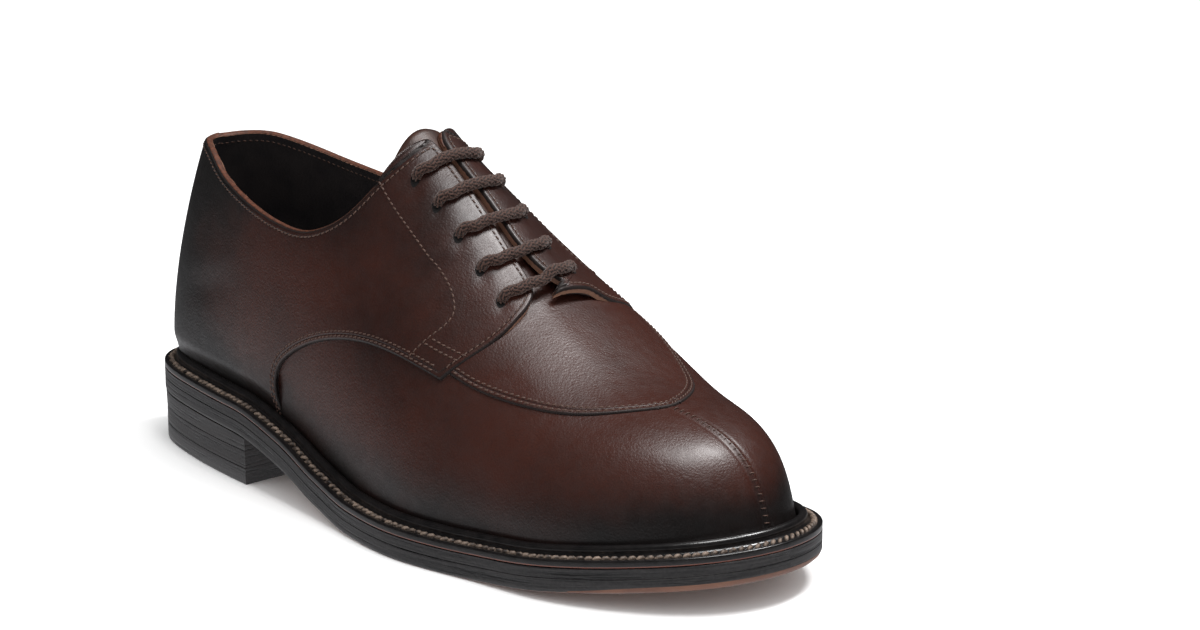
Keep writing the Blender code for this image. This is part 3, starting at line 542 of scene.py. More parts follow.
# materials
class Wire:
    # one socket of a shader, for sums written as Python
    def __init__(self, finish, socket):
        self.finish, self.socket = finish, socket

    def maths(self, operation, first, second):
        return self.finish.add("ShaderNodeMath", {"operation": operation}, {0: first, 1: second})

    def __add__(self, other):
        return self.maths("ADD", self, other)

    def __sub__(self, other):
        return self.maths("SUBTRACT", self, other)

    def __rsub__(self, other):
        return self.maths("SUBTRACT", other, self)

    def __mul__(self, other):
        return self.maths("MULTIPLY", self, other)


class Finish:
    def __init__(self, name, roughness=0.5, coat=0.0, coatRoughness=0.2, specular=0.5, sheen=0.0):
        self.material = bpy.data.materials.new(name)
        self.material.use_nodes = True
        self.tree = self.material.node_tree
        self.shader = self.tree.nodes["Principled BSDF"]
        self.shader.inputs["Roughness"].default_value = roughness
        self.shader.inputs["Coat Weight"].default_value = coat
        self.shader.inputs["Coat Roughness"].default_value = coatRoughness
        self.shader.inputs["Specular IOR Level"].default_value = specular
        self.shader.inputs["Sheen Weight"].default_value = sheen
        self.place = self.add("ShaderNodeTexCoord", {}, {}, "Object")

    def add(self, kind, settings, sockets, output=0):
        node = self.tree.nodes.new(kind)
        for key, value in settings.items():
            setattr(node, key, value)
        for key, value in sockets.items():
            if isinstance(value, Wire):
                self.tree.links.new(value.socket, node.inputs[key])
            else:
                node.inputs[key].default_value = value
        return Wire(self, node.outputs[output])

    def set(self, name, wire):
        self.tree.links.new(wire.socket, self.shader.inputs[name])

    def value(self, name):
        return self.add("ShaderNodeAttribute", {"attribute_name": name}, {}, "Fac")

    def noise(self, scale, detail=2.0, place=None, roughness=0.5):
        sockets = {"Vector": place or self.place, "Scale": scale, "Detail": detail, "Roughness": roughness}
        return self.add("ShaderNodeTexNoise", {}, sockets, "Fac")

    def size(self, wire):
        return self.add("ShaderNodeMath", {"operation": "ABSOLUTE"}, {0: wire})

    def cells(self, scale):
        sockets = {"Vector": self.place, "Scale": scale}
        return self.add("ShaderNodeTexVoronoi", {"feature": "SMOOTH_F1"}, sockets, "Distance")

    def fit(self, wire, low, high, outLow=0.0, outHigh=1.0):
        sockets = {"Value": wire, "From Min": low, "From Max": high, "To Min": outLow, "To Max": outHigh}
        return self.add("ShaderNodeMapRange", {"interpolation_type": "SMOOTHSTEP"}, sockets)

    def mix(self, factor, first, second):
        first = (*first, 1) if isinstance(first, tuple) and len(first) == 3 else first
        second = (*second, 1) if isinstance(second, tuple) and len(second) == 3 else second
        return self.add("ShaderNodeMix", {"data_type": "RGBA"}, {0: factor, 6: first, 7: second}, 2)

    def vector(self, x, y, z):
        return self.add("ShaderNodeCombineXYZ", {}, {"X": x, "Y": y, "Z": z})

    def bump(self, height, distance, strength=1.0, normal=None):
        sockets = {"Height": height, "Distance": distance, "Strength": strength}
        if normal:
            sockets["Normal"] = normal
        return self.add("ShaderNodeBump", {}, sockets)


# edge is the dark dye on the panels' edges; it also tints the painted shade along the stitch groove
calf = {
    "warm": (0.039, 0.0088, 0.0046), "dark": (0.0036, 0.0021, 0.0019), "edge": (0.0050, 0.0027, 0.0022),
    "raw": (0.19, 0.098, 0.065), "roughness": 0.40, "coat": 0.28, "coatRoughness": 0.30,
    "grainScale": 1300.0, "grainDepth": 0.00014, "stitchGap": 0.0021, "stitchWidth": 0.0005,
}


def calfFinish(name):
    finish = Finish(name, calf["roughness"], calf["coat"], calf["coatRoughness"])
    cloud = finish.noise(30.0, 4.0)
    mottle = finish.noise(160.0, 3.0)
    depth = finish.fit(finish.value("burnish") + (cloud - 0.5) * 0.8 + (mottle - 0.5) * 0.2, 0.0, 1.0)
    colour = finish.mix(depth, calf["warm"], calf["dark"])
    gap = finish.value("edgeGap")
    colour = finish.mix(finish.fit(gap, 0.0003, 0.0012, 0.8, 0.0), colour, calf["edge"])
    # painted shade: the line of the stitch groove, 2.1 mm in from a panel's edge, is darkened towards the
    # edge colour; the same mask also dents the surface
    stitchGrooveAndShade = finish.fit(finish.size(gap - calf["stitchGap"]), 0.0, calf["stitchWidth"], 1.0, 0.0)
    colour = finish.mix(stitchGrooveAndShade * 0.45, colour, calf["edge"])
    raw = finish.value("rawEdge")
    colour = finish.mix(raw, colour, calf["raw"])
    grain = finish.cells(calf["grainScale"])
    pores = finish.noise(2600.0, 2.0)
    soft = finish.noise(300.0, 3.0)
    normal = finish.bump(grain * 0.6 + pores * 0.5 + soft * 0.5, calf["grainDepth"])
    normal = finish.bump(finish.noise(60.0, 2.0), 0.0006, 0.5, normal)
    normal = finish.bump(stitchGrooveAndShade * -1.0, 0.00018, 1.0, normal)
    finish.set("Base Color", colour)
    rough = finish.fit(soft + cloud * 0.5, 0.4, 1.1, calf["roughness"] - 0.05, calf["roughness"] + 0.08)
    finish.set("Roughness", rough + finish.fit(gap, 0.0002, 0.0009, 0.3, 0.0) * (1 - raw))
    finish.set("Coat Weight", finish.fit(gap, 0.0002, 0.0010, 0.0, calf["coat"]))
    finish.set("Normal", normal)
    return finish.material


def plainFinish(name, colour, second, scale, roughness, bumpScale, bumpDepth):
    finish = Finish(name, roughness)
    tone = finish.noise(scale, 4.0)
    finish.set("Base Color", finish.mix(finish.fit(tone, 0.3, 0.7), colour, second))
    finish.set("Normal", finish.bump(finish.noise(bumpScale, 3.0), bumpDepth))
    return finish.material


upperFinish = calfFinish("burnishedCalf")
liningFinish = plainFinish(
    "liningLeather", (0.012, 0.010, 0.011), (0.020, 0.016, 0.016),
    90.0, 0.5, 1800.0, 0.00006,
)
rimFinish = plainFinish(
    "collarRawEdge", (0.105, 0.030, 0.012), (0.050, 0.016, 0.008),
    700.0, 0.55, 2400.0, 0.00015,
)
threadFinish = plainFinish(
    "upperThread", (0.042, 0.0195, 0.0130), (0.090, 0.045, 0.031),
    2500.0, 0.55, 5000.0, 0.00004,
)
print("materials ready")


def burnishAt(places):
    # darker at the heel, above the welt, round the toe and along the collar
    x, z = places[..., 0], places[..., 2]
    share = shareOf(x)
    above = z - underside(x) - weltBottom
    heel = 1 - smoothStep(share, 0.02, 0.30)
    low = 1 - smoothStep(above, 0.004, 0.030)
    toe = smoothStep(share, 0.80, 1.0) * (1 - smoothStep(above, 0.006, 0.034))
    collar = smoothStep(z, 0.078, 0.112) * (1 - smoothStep(share, 0.38, 0.50))
    front = smoothStep(share, 0.36, 0.50) * (1 - smoothStep(share, 0.58, 0.68))
    front *= smoothStep(above, 0.030, 0.060)
    return np.clip(0.20 + 0.80 * heel + 0.62 * low + 0.35 * toe + 0.45 * collar + 0.22 * front, 0, 1)


def thickened(line, spacing=0.00007):
    # the line with points close together
    return resample(line, int(runLength(line)[-1] / spacing) + 2)


def distanceTo(points, lines):
    dense = np.concatenate([thickened(line) for line in lines])
    tree = KDTree(len(dense))
    for k, place in enumerate(dense):
        tree.insert(place, k)
    tree.balance()
    flat = points.reshape(-1, 3)
    return np.array([tree.find(place)[2] for place in flat.tolist()]).reshape(points.shape[:-1])


def rollOver(distance, radius):
    near = np.clip(distance / radius, 0, 1)
    return np.sqrt(np.maximum(1 - (1 - near) ** 2, 0))


def rowPlaces(length, cluster, middle):
    # row positions along a column of a given length, thick with rows at both ends
    cluster = np.array(cluster)
    scale = np.minimum(1.0, length / (3.2 * cluster[-1]))
    low = cluster[None] * scale[:, None]
    inner = np.linspace(0, 1, middle + 2)[1:-1]
    first = low[:, -1:]
    body = first + (length[:, None] - 2 * first) * inner[None]
    high = length[:, None] - low[:, ::-1]
    return np.concatenate([low, body, high], 1) / length[:, None]


def ruled(bottom, top, cluster, middle):
    # grid of (u, v) between two lines with as many points
    across = 0.5 * (bottom + top)
    mid = surfaceAt(across)
    length = (np.linalg.norm(surfaceAt(bottom) - mid, axis=1)
              + np.linalg.norm(surfaceAt(top) - mid, axis=1))
    w = rowPlaces(np.maximum(length, 1e-5), cluster, middle)
    return bottom[:, None] * (1 - w[..., None]) + top[:, None] * w[..., None]


# quarters: one panel round the heel, from tip to tip
quarters = {
    "columns": 520, "middleRows": 56, "lipDepth": 0.0003, "skirtDepth": 0.0019,
    "tuck": 0.0002, "footSteps": 900, "blur": 20,
    "cluster": [0, 0.0001, 0.00025, 0.00045, 0.0007, 0.0010, 0.0014, 0.0020, 0.0028],
    "edgeShare": [0.0, 0.15, 0.42, 0.55, 0.66, 0.78, 1.0],
    "footShare": [0.0, 0.06, 0.27, 0.33, 0.42, 0.62, 1.0],
}
edges = {side: quarterEdges(side) for side in (-1, 1)}


def buildQuarters():
    tops, feet = [], []
    width = 2 * quarters["blur"] + 1
    window = np.ones(width) / width
    for side in (-1, 1):
        edge, seam = edges[side]
        heel = np.stack([np.linspace(seam[-1, 0], 0, 200), np.zeros(200)], -1)
        foot = rounded(np.vstack([seam, heel[1:]]), quarters["footSteps"], 3)
        half = quarters["columns"] // 2
        f = np.linspace(0, 1, half + 1)
        g = np.interp(f, quarters["edgeShare"], quarters["footShare"])
        g = np.convolve(np.pad(g, quarters["blur"], "edge"), window, "valid")
        g = (g - g[0]) / (g[-1] - g[0])
        topRun, footRun = runLength(placesOf(edge)), runLength(placesOf(foot))
        back = edge[::-1]
        backRun = topRun[-1] - topRun[::-1]
        tops.append(np.stack([np.interp(f * backRun[-1], backRun, back[:, k]) for k in (0, 1)], -1))
        feet.append(np.stack([np.interp(g * footRun[-1], footRun, foot[:, k]) for k in (0, 1)], -1))
    top = np.vstack([tops[0], tops[1][::-1][1:]])
    bottom = np.vstack([feet[0], feet[1][::-1][1:]])
    grid = ruled(bottom, top, quarters["cluster"], quarters["middleRows"])
    base = surfaceAt(grid)
    normal = normalAt(grid)
    lines = [placesOf(line) for side in (-1, 1) for line in edges[side]]
    gap = distanceTo(base, lines)
    lift = quarterLift(base)
    grow = fade(base)
    lap = overlays["quarterLap"] * rollOver(gap, overlays["roll"]) * grow
    outer = base + normal * (lap + lift)[..., None]
    under = outer[:, :1] - normal[:, :1] * (lap[:, :1] + quarters["tuck"] + lift[:, :1])[..., None]
    inside = outer[:, -1:] - normal[:, -1:] * quarters["lipDepth"]
    deep = outer[:, -1:] - normal[:, -1:] * quarters["skirtDepth"]
    points = np.concatenate([under, outer, inside, deep], 1)
    gaps = np.concatenate([gap[:, :1] * 0, gap, gap[:, -1:] * 0, gap[:, -1:] * 0], 1)
    rawEdge = np.zeros(gaps.shape)
    rawEdge[:, -2:] = 1.0
    values = {"edgeGap": gaps, "burnish": burnishAt(points), "rawEdge": rawEdge}
    piece = meshPiece("quarters", points, gridFaces(*points.shape[:2], flip=True), upperFinish, values)
    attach(piece, "root")
    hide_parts("upper")


buildQuarters()
print("quarters ready")

# vamp: from under the quarters round the toe, with the split-toe seam
vamp = {
    "backShare": 0.285, "columns": 170, "rows": 120, "seamHeight": 0.00055, "seamWidth": 0.00085,
    "throatShare": 0.640, "throatHalf": 0.0195, "hiddenShare": 0.56, "hiddenHeight": 0.085,
    "grooveDepth": 0.00018, "fineColumns": 26, "farFromEdge": 0.02,
}


def turnOf(share):
    return math.acos(1 - 2 * share) / math.pi


def toeSeam(places):
    # distances in plan along and beside the line from the ridge's front pivot to the toe
    start = lastSurface(1.0, 1.0)[:2]
    end = lastSurface(1.0, 0.0)[:2]
    along = (end - start) / np.linalg.norm(end - start)
    away = places[..., :2] - start
    return away @ along, away @ np.array([-along[1], along[0]])


def seamRelief(places):
    ahead, aside = toeSeam(places)
    tipX = float(lengthAt(apronTip))
    fadeIn = smoothStep(places[..., 0], tipX - 0.001, tipX + 0.012)
    wide = vamp["seamWidth"]
    ridge = vamp["seamHeight"] * np.exp(-(aside / wide) ** 2)
    groove = vamp["grooveDepth"] * np.exp(-((np.abs(aside) - 2.2 * wide) / wide) ** 2)
    return (0.25 + 0.75 * fadeIn) * (ridge - groove) * (ahead > -0.002)


def buildVamp():
    t = np.linspace(turnOf(vamp["backShare"]), 1.0, vamp["columns"])
    fineT = 1 - np.geomspace(0.0004, 0.03, vamp["fineColumns"])
    t = np.unique(np.concatenate([t, fineT]))
    u = np.concatenate([-t, t[::-1][1:]])
    v = np.linspace(0, 1, vamp["rows"])
    gridU, gridV = np.meshgrid(u, v, indexing="ij")
    base = lastSurface(gridU, gridV)
    normal = lastNormal(gridU, gridV)
    points = base + normal * (seamRelief(base) + foldRelief(base))[..., None]
    gap = np.full(base.shape[:2], vamp["farFromEdge"])
    faces = np.array(gridFaces(*base.shape[:2]))
    middle = points.reshape(-1, 3)[faces].mean(1)
    share = shareOf(middle[:, 0])
    hole = (share < vamp["throatShare"]) & (offCentre(middle) < vamp["throatHalf"])
    hidden = (share < vamp["hiddenShare"]) & (middle[:, 2] > vamp["hiddenHeight"])
    values = {"edgeGap": gap, "burnish": burnishAt(points), "rawEdge": gap * 0}
    piece = meshPiece("vamp", points, faces[~(hole | hidden)].tolist(), upperFinish, values)
    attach(piece, "root")
    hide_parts("upper")


buildVamp()
print("vamp ready")

# apron: lapped over the vamp, its edge rolled
apron = {
    "edgePoints": 460, "rows": 70, "backShare": 0.600, "spineBack": 0.004, "spineStop": 0.014,
    "roll": 0.0006, "gap": 0.00002, "lipDepth": 0.0003,
}


def apronPath():
    outer = [(float(lengthAt(a)), -o * shoe["soleWidth"]) for a, o, i in apronLine]
    inner = [(float(lengthAt(a)), i * shoe["soleWidth"]) for a, o, i in apronLine[::-1]]
    path = smoothPath(outer + [(float(lengthAt(apronTip)), 0)] + inner, 10)
    path = eased(resample(path, apron["edgePoints"]), 6)
    path[:, 1] += ridgeAt(path[:, 0])[0]
    return path


def buildApron():
    path = apronPath()
    backX = float(lengthAt(apron["backShare"]))
    tipX = path[:, 0].max() - apron["spineStop"]
    spineX = np.clip(path[:, 0] - apron["spineBack"], backX, tipX)
    spine = np.stack([spineX, ridgeAt(spineX)[0]], -1)
    reach = np.linalg.norm(path - spine, axis=1)
    cluster = np.array(quarters["cluster"])
    rest = np.linspace(0, 1, apron["rows"] - len(cluster) + 1)[1:]
    w = np.concatenate([np.broadcast_to(cluster, (len(path), len(cluster))),
                        cluster[-1] + (reach[:, None] - cluster[-1]) * rest], 1) / reach[:, None]
    plan = path[:, None] * (1 - w[..., None]) + spine[:, None] * w[..., None]
    flat = plan.reshape(-1, 2)
    aside = flat[:, 1] - ridgeAt(flat[:, 0])[0]
    params = np.zeros((len(flat), 2))
    for side in (-1, 1):
        mine = (aside < 0) if side < 0 else (aside >= 0)
        params[mine] = baseFinder[side].find(flat[mine])
    params = params.reshape(plan.shape)
    params[:, -1, 1] = 1.0
    base = surfaceAt(params)
    normal = normalAt(params)
    gap = distanceTo(base, [base[:, 0]])
    lap = overlays["apronLap"] * rollOver(gap, apron["roll"]) + apron["gap"]
    points = base + normal * lap[..., None]
    under = base[:, :1] - normal[:, :1] * apron["lipDepth"]
    points = np.concatenate([under, points], 1)
    gap = np.concatenate([gap[:, :1] * 0, gap], 1)
    values = {"edgeGap": gap, "burnish": burnishAt(points), "rawEdge": gap * 0}
    piece = meshPiece("apron", points, gridFaces(*points.shape[:2]), upperFinish, values)
    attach(piece, "root")
    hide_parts("upper")
    return params[:, 0]


apronEdge = buildApron()
print("apron ready")

# lining, and the raw edge round the collar
lining = {
    "depth": 0.00155, "rows": 40, "footV": 0.03, "foreShare": 0.54, "foreExtra": 0.0004,
    "throatMargin": 0.004, "rimHalf": 0.00115, "rimMiddle": -0.00035, "rimBulge": 0.00045,
    "rimSteps": 520, "rimTaper": 14, "rimEnd": 0.4765,
}


def edgeUp(line):
    # direction within the surface, away from the leather below
    above = lastSurface(line[:, 0], np.minimum(line[:, 1] + fine, 1))
    return unit(above - lastSurface(line[:, 0], line[:, 1] - fine))


def buildLining():
    top = np.vstack([edges[-1][0][::-1], edges[1][0][1:]])
    top = resample(top, 420, runLength(placesOf(top)))
    low = np.stack([top[:, 0], np.full(len(top), lining["footV"])], -1)
    w = np.linspace(0, 1, lining["rows"]) ** 0.8
    grid = low[:, None] * (1 - w[:, None]) + top[:, None] * w[:, None]
    base = surfaceAt(grid)
    depth = lining["depth"] + 0.0002 * smoothStep(w, 0.9, 1.0)
    points = base + normalAt(grid) * (quarterLift(base) - depth)[..., None]
    front = np.linspace(turnOf(lining["foreShare"]), 1.0, 60)
    u = np.concatenate([-front, front[::-1][1:]])
    gridU, gridV = np.meshgrid(u, np.linspace(lining["footV"], 1, 30), indexing="ij")
    fore = lastSurface(gridU, gridV)
    foreFaces = np.array(gridFaces(*fore.shape[:2], flip=True))
    centre = fore.reshape(-1, 3)[foreFaces].mean(1)
    throat = offCentre(centre) < vamp["throatHalf"] + lining["throatMargin"]
    keep = ~((shareOf(centre[:, 0]) < vamp["throatShare"]) & throat)
    fore = fore - lastNormal(gridU, gridV) * (lining["depth"] + lining["foreExtra"])
    parts = [(points.reshape(-1, 3), gridFaces(*points.shape[:2])),
             (fore.reshape(-1, 3), foreFaces[keep].tolist())]
    piece = meshPiece("lining", *joinGrids(parts), liningFinish)
    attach(piece, "root")
    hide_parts("upper")


def collarPart(side):
    edge = edges[side][0]
    stop = int(np.argmax(shareOf(placesOf(edge)[:, 0]) > lining["rimEnd"]))
    return edge[:stop]


def buildRim():
    line = np.vstack([collarPart(-1)[::-1], collarPart(1)[1:]])
    steps = lining["rimSteps"]
    line = resample(line, steps, runLength(placesOf(line)))
    base = placesOf(line)
    normal = normalAt(line)
    up = edgeUp(line)
    lift = quarterLift(base)
    fromEnd = np.minimum(np.arange(steps), steps - 1 - np.arange(steps))
    taper = smoothStep(fromEnd, 0, lining["rimTaper"])
    loops = []
    for angle in np.linspace(-0.5, math.pi + 0.5, 13):
        out = lining["rimMiddle"] + lining["rimHalf"] * math.cos(angle) * (0.35 + 0.65 * taper)
        loops.append(base + normal * (lift + out)[:, None] + up * (lining["rimBulge"] * math.sin(angle)))
    points = np.stack(loops, 1)
    piece = meshPiece("collarEdge", points, gridFaces(*points.shape[:2], flip=True), rimFinish)
    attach(piece, "root")
    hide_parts("upper")


buildLining()
buildRim()
print("lining and collar edge ready")

# stitching: each stitch is a short thread that dives into the leather at both ends
stitching = {
    "thread": {"pitch": 0.0023, "length": 0.0019, "radius": 0.00030, "slant": 10.0},
    "collar": 0.0021, "rows": (0.0015, 0.0032), "apron": (0.0014, 0.0031), "lining": 0.0030,
    "nearest": 0.94, "edgeEnd": 690, "seamStart": 24, "cornerShare": 0.636, "cornerHalf": 0.0072,
}
toeRow = {"top": 0.985, "low": 0.02, "steps": 400, "start": 0.0008, "lift": 0.00042}
toeTicks = {"pitch": 0.0024, "length": 0.0024, "radius": 0.00020, "slant": 78, "dive": 3.0, "rise": 0.9}


def threads(places, normals, pitch, length, radius, slant=0.0, dive=1.2, sides=6, rise=0.15):
    run = runLength(places)
    count = max(2, int(round(run[-1] / pitch)))
    at = (np.arange(count) + 0.5) * run[-1] / count
    here = np.stack([np.interp(at, run, places[:, k]) for k in range(3)], -1)
    up = np.stack([np.interp(at, run, normals[:, k]) for k in range(3)], -1)
    up /= np.linalg.norm(up, axis=1, keepdims=True)
    ahead = np.stack([np.interp(np.minimum(at + 0.0002, run[-1]), run, places[:, k])
                      - np.interp(np.maximum(at - 0.0002, 0), run, places[:, k]) for k in range(3)], -1)
    ahead -= up * (ahead * up).sum(1, keepdims=True)
    ahead /= np.linalg.norm(ahead, axis=1, keepdims=True)
    aside = np.cross(up, ahead)
    turn = math.radians(slant)
    cosine, sine = math.cos(turn), math.sin(turn)
    ahead, aside = ahead * cosine + aside * sine, aside * cosine - ahead * sine
    profile = [(-0.5, 0.25, -dive), (-0.42, 0.8, -0.35 * dive), (-0.2, 1.0, rise), (0.2, 1.0, rise),
               (0.42, 0.8, -0.35 * dive), (0.5, 0.25, -dive)]
    angles = np.arange(sides) * 2 * math.pi / sides
    rings = []
    for along, wide, high in profile:
        centre = here + ahead * (along * length) + up * (high * radius)
        ring = (centre[:, None] + (aside[:, None] * np.cos(angles)[None, :, None]
                                   + up[:, None] * np.sin(angles)[None, :, None]) * radius * wide)
        rings.append(ring)
    points = np.stack(rings, 1)
    faces = []
    size = len(profile) * sides
    for k in range(count):
        start = k * size
        for i in range(len(profile) - 1):
            for j in range(sides):
                a, b = start + i * sides + j, start + i * sides + (j + 1) % sides
                faces.append([a, b, b + sides, a + sides])
    return points.reshape(-1, 3), faces


def lineThreads(line, lift, **kind):
    places = placesOf(line, lift)
    return threads(places, normalAt(line), **kind)


def dropped(finders, plan, lift):
    plan = np.asarray(plan, float)
    aside = plan[:, 1] - ridgeAt(plan[:, 0])[0]
    params = np.zeros((len(plan), 2))
    for side in (-1, 1):
        mine = (aside < 0) if side < 0 else (aside >= 0)
        if mine.any():
            params[mine] = finders[side].find(plan[mine])
    return placesOf(params, lift), normalAt(params)


def sideLine(side, table):
    # the inner side takes the mirrored line
    line = sideFinder[-1].find(sideTable(table))
    line[:, 0] *= -side
    return line


# seen from the side: the row down the facing, and the short double row at its foot
facingRow = [
    (0.452, 1.010), (0.478, 0.952), (0.511, 0.892), (0.550, 0.822), (0.575, 0.774), (0.594, 0.720),
    (0.600, 0.683), (0.587, 0.628), (0.568, 0.563),
]
shortRows = [
    [(0.589, 0.622), (0.609, 0.606), (0.635, 0.588)],
    [(0.582, 0.608), (0.603, 0.592), (0.629, 0.574)],
]


def insetApron(distance):
    # the apron's edge moved towards its middle, dropped back on the surface
    places, normals = placesOf(apronEdge), normalAt(apronEdge)
    ahead = unit(eased(np.gradient(places, axis=0), 24))
    moved = places + np.cross(normals, ahead) * distance
    moved = moved[distanceTo(moved, [places]) > stitching["nearest"] * distance]
    return dropped(baseFinder, moved[:, :2], overlays["apronLap"])


def insetRow(edge, distance):
    # moved in from an edge, without the loops that tight corners leave
    line = shifted(edge, distance)
    away = distanceTo(placesOf(line), [placesOf(edge)])
    return rounded(line[away > stitching["nearest"] * abs(distance)], 700, 24)


def upperRows():
    usual = stitching["thread"]
    parts = []
    for side in (-1, 1):
        edge, seam = edges[side]
        tilt = dict(usual, slant=-side * usual["slant"])
        row = insetRow(edge, side * stitching["collar"])[:stitching["edgeEnd"]]
        places = placesOf(row)
        ahead = shareOf(places[:, 0]) > stitching["cornerShare"]
        corner = np.nonzero(ahead & (offCentre(places) < stitching["cornerHalf"]))[0]
        rows = [row[:corner[0]], row[corner[-1] + 1:]] if len(corner) else [row]
        start = stitching["seamStart"]
        rows += [insetRow(seam, side * distance)[start:] for distance in stitching["rows"]]
        rows += [sideLine(side, table) for table in [facingRow] + shortRows]
        parts += [lineThreads(row, quarterTop, **tilt) for row in rows]
        inner = rounded(shifted(collarPart(side), side * stitching["lining"]), 400, 20)
        normals = normalAt(inner)
        places = placesOf(inner, quarterLift) - normals * lining["depth"]
        parts.append(threads(places, -normals, **tilt))
    for distance in stitching["apron"]:
        parts.append(threads(*insetApron(distance), **usual))
    return parts


def buildStitches():
    piece = meshPiece("upperStitches", *joinGrids(upperRows()), threadFinish)
    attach(piece, "root")
    # short ticks across the split-toe seam
    v = np.linspace(toeRow["top"], toeRow["low"], toeRow["steps"])
    line = np.stack([np.ones(toeRow["steps"]), v], -1)
    places = placesOf(line)
    places = places[places[:, 0] > float(lengthAt(apronTip)) + toeRow["start"]]
    normals = lastNormal(np.ones(len(places)), np.interp(places[:, 0], placesOf(line)[:, 0], v))
    places = places + normals * toeRow["lift"]
    piece = meshPiece("toeSeamTicks", *threads(places, normals, **toeTicks), threadFinish)
    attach(piece, "root")


buildStitches()
print("stitches ready")

# storm welt: flat seat with a twisted row of stitches and a rounded bead against the upper
welt = {
    "steps": 420, "beadWidth": 0.0030, "beadHeight": 0.0034, "edgeRound": 0.0006, "bedShare": 0.52,
    # the bed of the stitches: share of the flat seat, share of the depth
    "grooveDepth": 0.0004,
    "groove": [(0.15, 0.0), (0.3, 0.4), (0.42, 0.95), (0.52, 1.0), (0.62, 0.95), (0.75, 0.4), (0.88, 0.0)],
    "thread": {"pitch": 0.0030, "length": 0.0033, "radius": 0.00070, "slant": 38, "dive": 0.9, "sides": 10,
               "rise": 0.25},
}


def ringOf(steps):
    return -1 + np.arange(2 * steps) / steps


def ringLoft(name, loops, finish, values, caps=(), sharp=None):
    # loops are rings of points round the shoe, heel and toe included
    points = np.stack(loops, 1)
    count, high = points.shape[:2]
    values = dict(values, level=points[..., 2] - underside(points[..., 0]))
    faces = gridFaces(count, high, wrap=True, flip=True)
    for level in caps:
        for k in range(count // 2):
            corners = [k, k + 1, (count - k - 1) % count, (count - k) % count]
            corners = list(dict.fromkeys(c * high + (level % high) for c in corners))
            if len(corners) > 2:
                faces.append(corners if level == 0 else corners[::-1])
    return meshPiece(name, points, faces, finish, values, sharp)


def runRound(u):
    return runLength(soleEdge(u, 0.0))


def buildWelt(finish, thread):
    u = ringOf(welt["steps"])
    feather, rim = soleEdge(u, shoe["weltMargin"]), soleEdge(u, 0.0)
    outward = (rim - feather) / shoe["weltMargin"]
    base = underside(rim[:, 0]) + weltBottom
    v = np.linspace(0, 0.25, 40)
    gridU, gridV = np.meshgrid(u, v, indexing="ij")
    wall = lastSurface(gridU, gridV)
    lip = shoe["welt"] + welt["beadHeight"]
    reach = ((wall[..., :2] - feather[:, None]) * outward[:, None]).sum(-1)
    low = wall[..., 2] < (base + lip)[:, None]
    face = np.where(low, reach, -1).max(1)
    face = np.maximum(face, 0) + 0.0001
    for _ in range(8):
        face = 0.25 * np.roll(face, 1) + 0.5 * face + 0.25 * np.roll(face, -1)
    half = welt["beadWidth"] / 2
    soft = welt["edgeRound"]
    width = shoe["weltMargin"]

    def loop(out, high):
        return np.concatenate([feather + outward * np.broadcast_to(out, len(u))[:, None],
                               (base + high)[:, None]], 1)
    loops = [loop(width - 0.001, 0), loop(width - 0.0001, 0.0001), loop(width, 0.00045), loop(width, 0.0006)]
    for angle in np.linspace(0, 90, 6):
        a = math.radians(angle)
        loops.append(loop(width - soft * (1 - math.cos(a)), shoe["welt"] - soft * (1 - math.sin(a))))
    flat = width - soft - (face + 2 * half)
    for share, dip in welt["groove"]:
        loops.append(loop(width - soft - share * flat, shoe["welt"] - dip * welt["grooveDepth"]))
    for angle in np.linspace(-35, 170, 15):
        a = math.radians(angle)
        loops.append(loop(face + half + half * math.cos(a), lip - half + half * math.sin(a)))
    loops.append(loop(face, shoe["welt"]))
    run = runRound(u)
    along = np.broadcast_to(run[:, None], (len(u), len(loops)))
    trim = np.zeros(along.shape)
    trim[:, :3] = 1.0
    piece = ringLoft("stormWelt", loops, finish, {"run": along, "trim": trim})
    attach(piece, "root")
    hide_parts("welt")
    seat = feather + outward * (width - soft - welt["bedShare"] * flat)[:, None]
    places = np.concatenate([seat, (base + shoe["welt"] - 0.3 * welt["grooveDepth"])[:, None]], 1)
    places = np.vstack([places, places[:1]])
    normals = np.broadcast_to(np.array([0.0, 0.0, 1.0]), places.shape)
    piece = meshPiece("weltStitches", *threads(places, normals, **welt["thread"]), thread)
    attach(piece, "root")


soleTones = {"black": (0.0055, 0.0048, 0.0052), "grey": (0.022, 0.0195, 0.020)}


def edgeFinish(name, dark, light, mark=None):
    # edge-dressed leather: long fibres that run with the sole, thin dark cracks between them
    finish = Finish(name, roughness=0.42, coat=0.15, coatRoughness=0.3)
    along, level = finish.value("run"), finish.value("level")
    lines = finish.noise(1.0, 3.0, finish.vector(along * 22.0, level * 1100.0, 0.0), 0.55)
    speck = finish.noise(900.0, 3.0)
    cracks = finish.fit(lines, 0.33, 0.42, 1.0, 0.0)
    colour = finish.mix(finish.fit(lines * 0.7 + speck * 0.3, 0.40, 0.65), dark, light)
    colour = finish.mix(cracks * 0.85, colour, (0.0020, 0.0017, 0.0017))
    if mark:
        across = finish.fit(finish.size(along - mark), 0.0002, 0.0005, 1.0, 0.0)
        tick = across * finish.fit(level, 0.0045, 0.0052, 1.0, 0.0)
        colour = finish.mix(tick, colour, (0.001, 0.001, 0.001))
    finish.set("Base Color", colour)
    finish.set("Roughness", finish.fit(lines, 0.3, 0.7, 0.36, 0.54))
    finish.set("Normal", finish.bump(lines * 0.5 + speck * 0.4 - cracks * 0.5, 0.00030))
    return finish.material


sideFinish = edgeFinish("soleEdge", soleTones["black"], soleTones["grey"])
heelFinish = edgeFinish("heelEdge", (0.0070, 0.0060, 0.0062), (0.026, 0.022, 0.0225), 0.036)


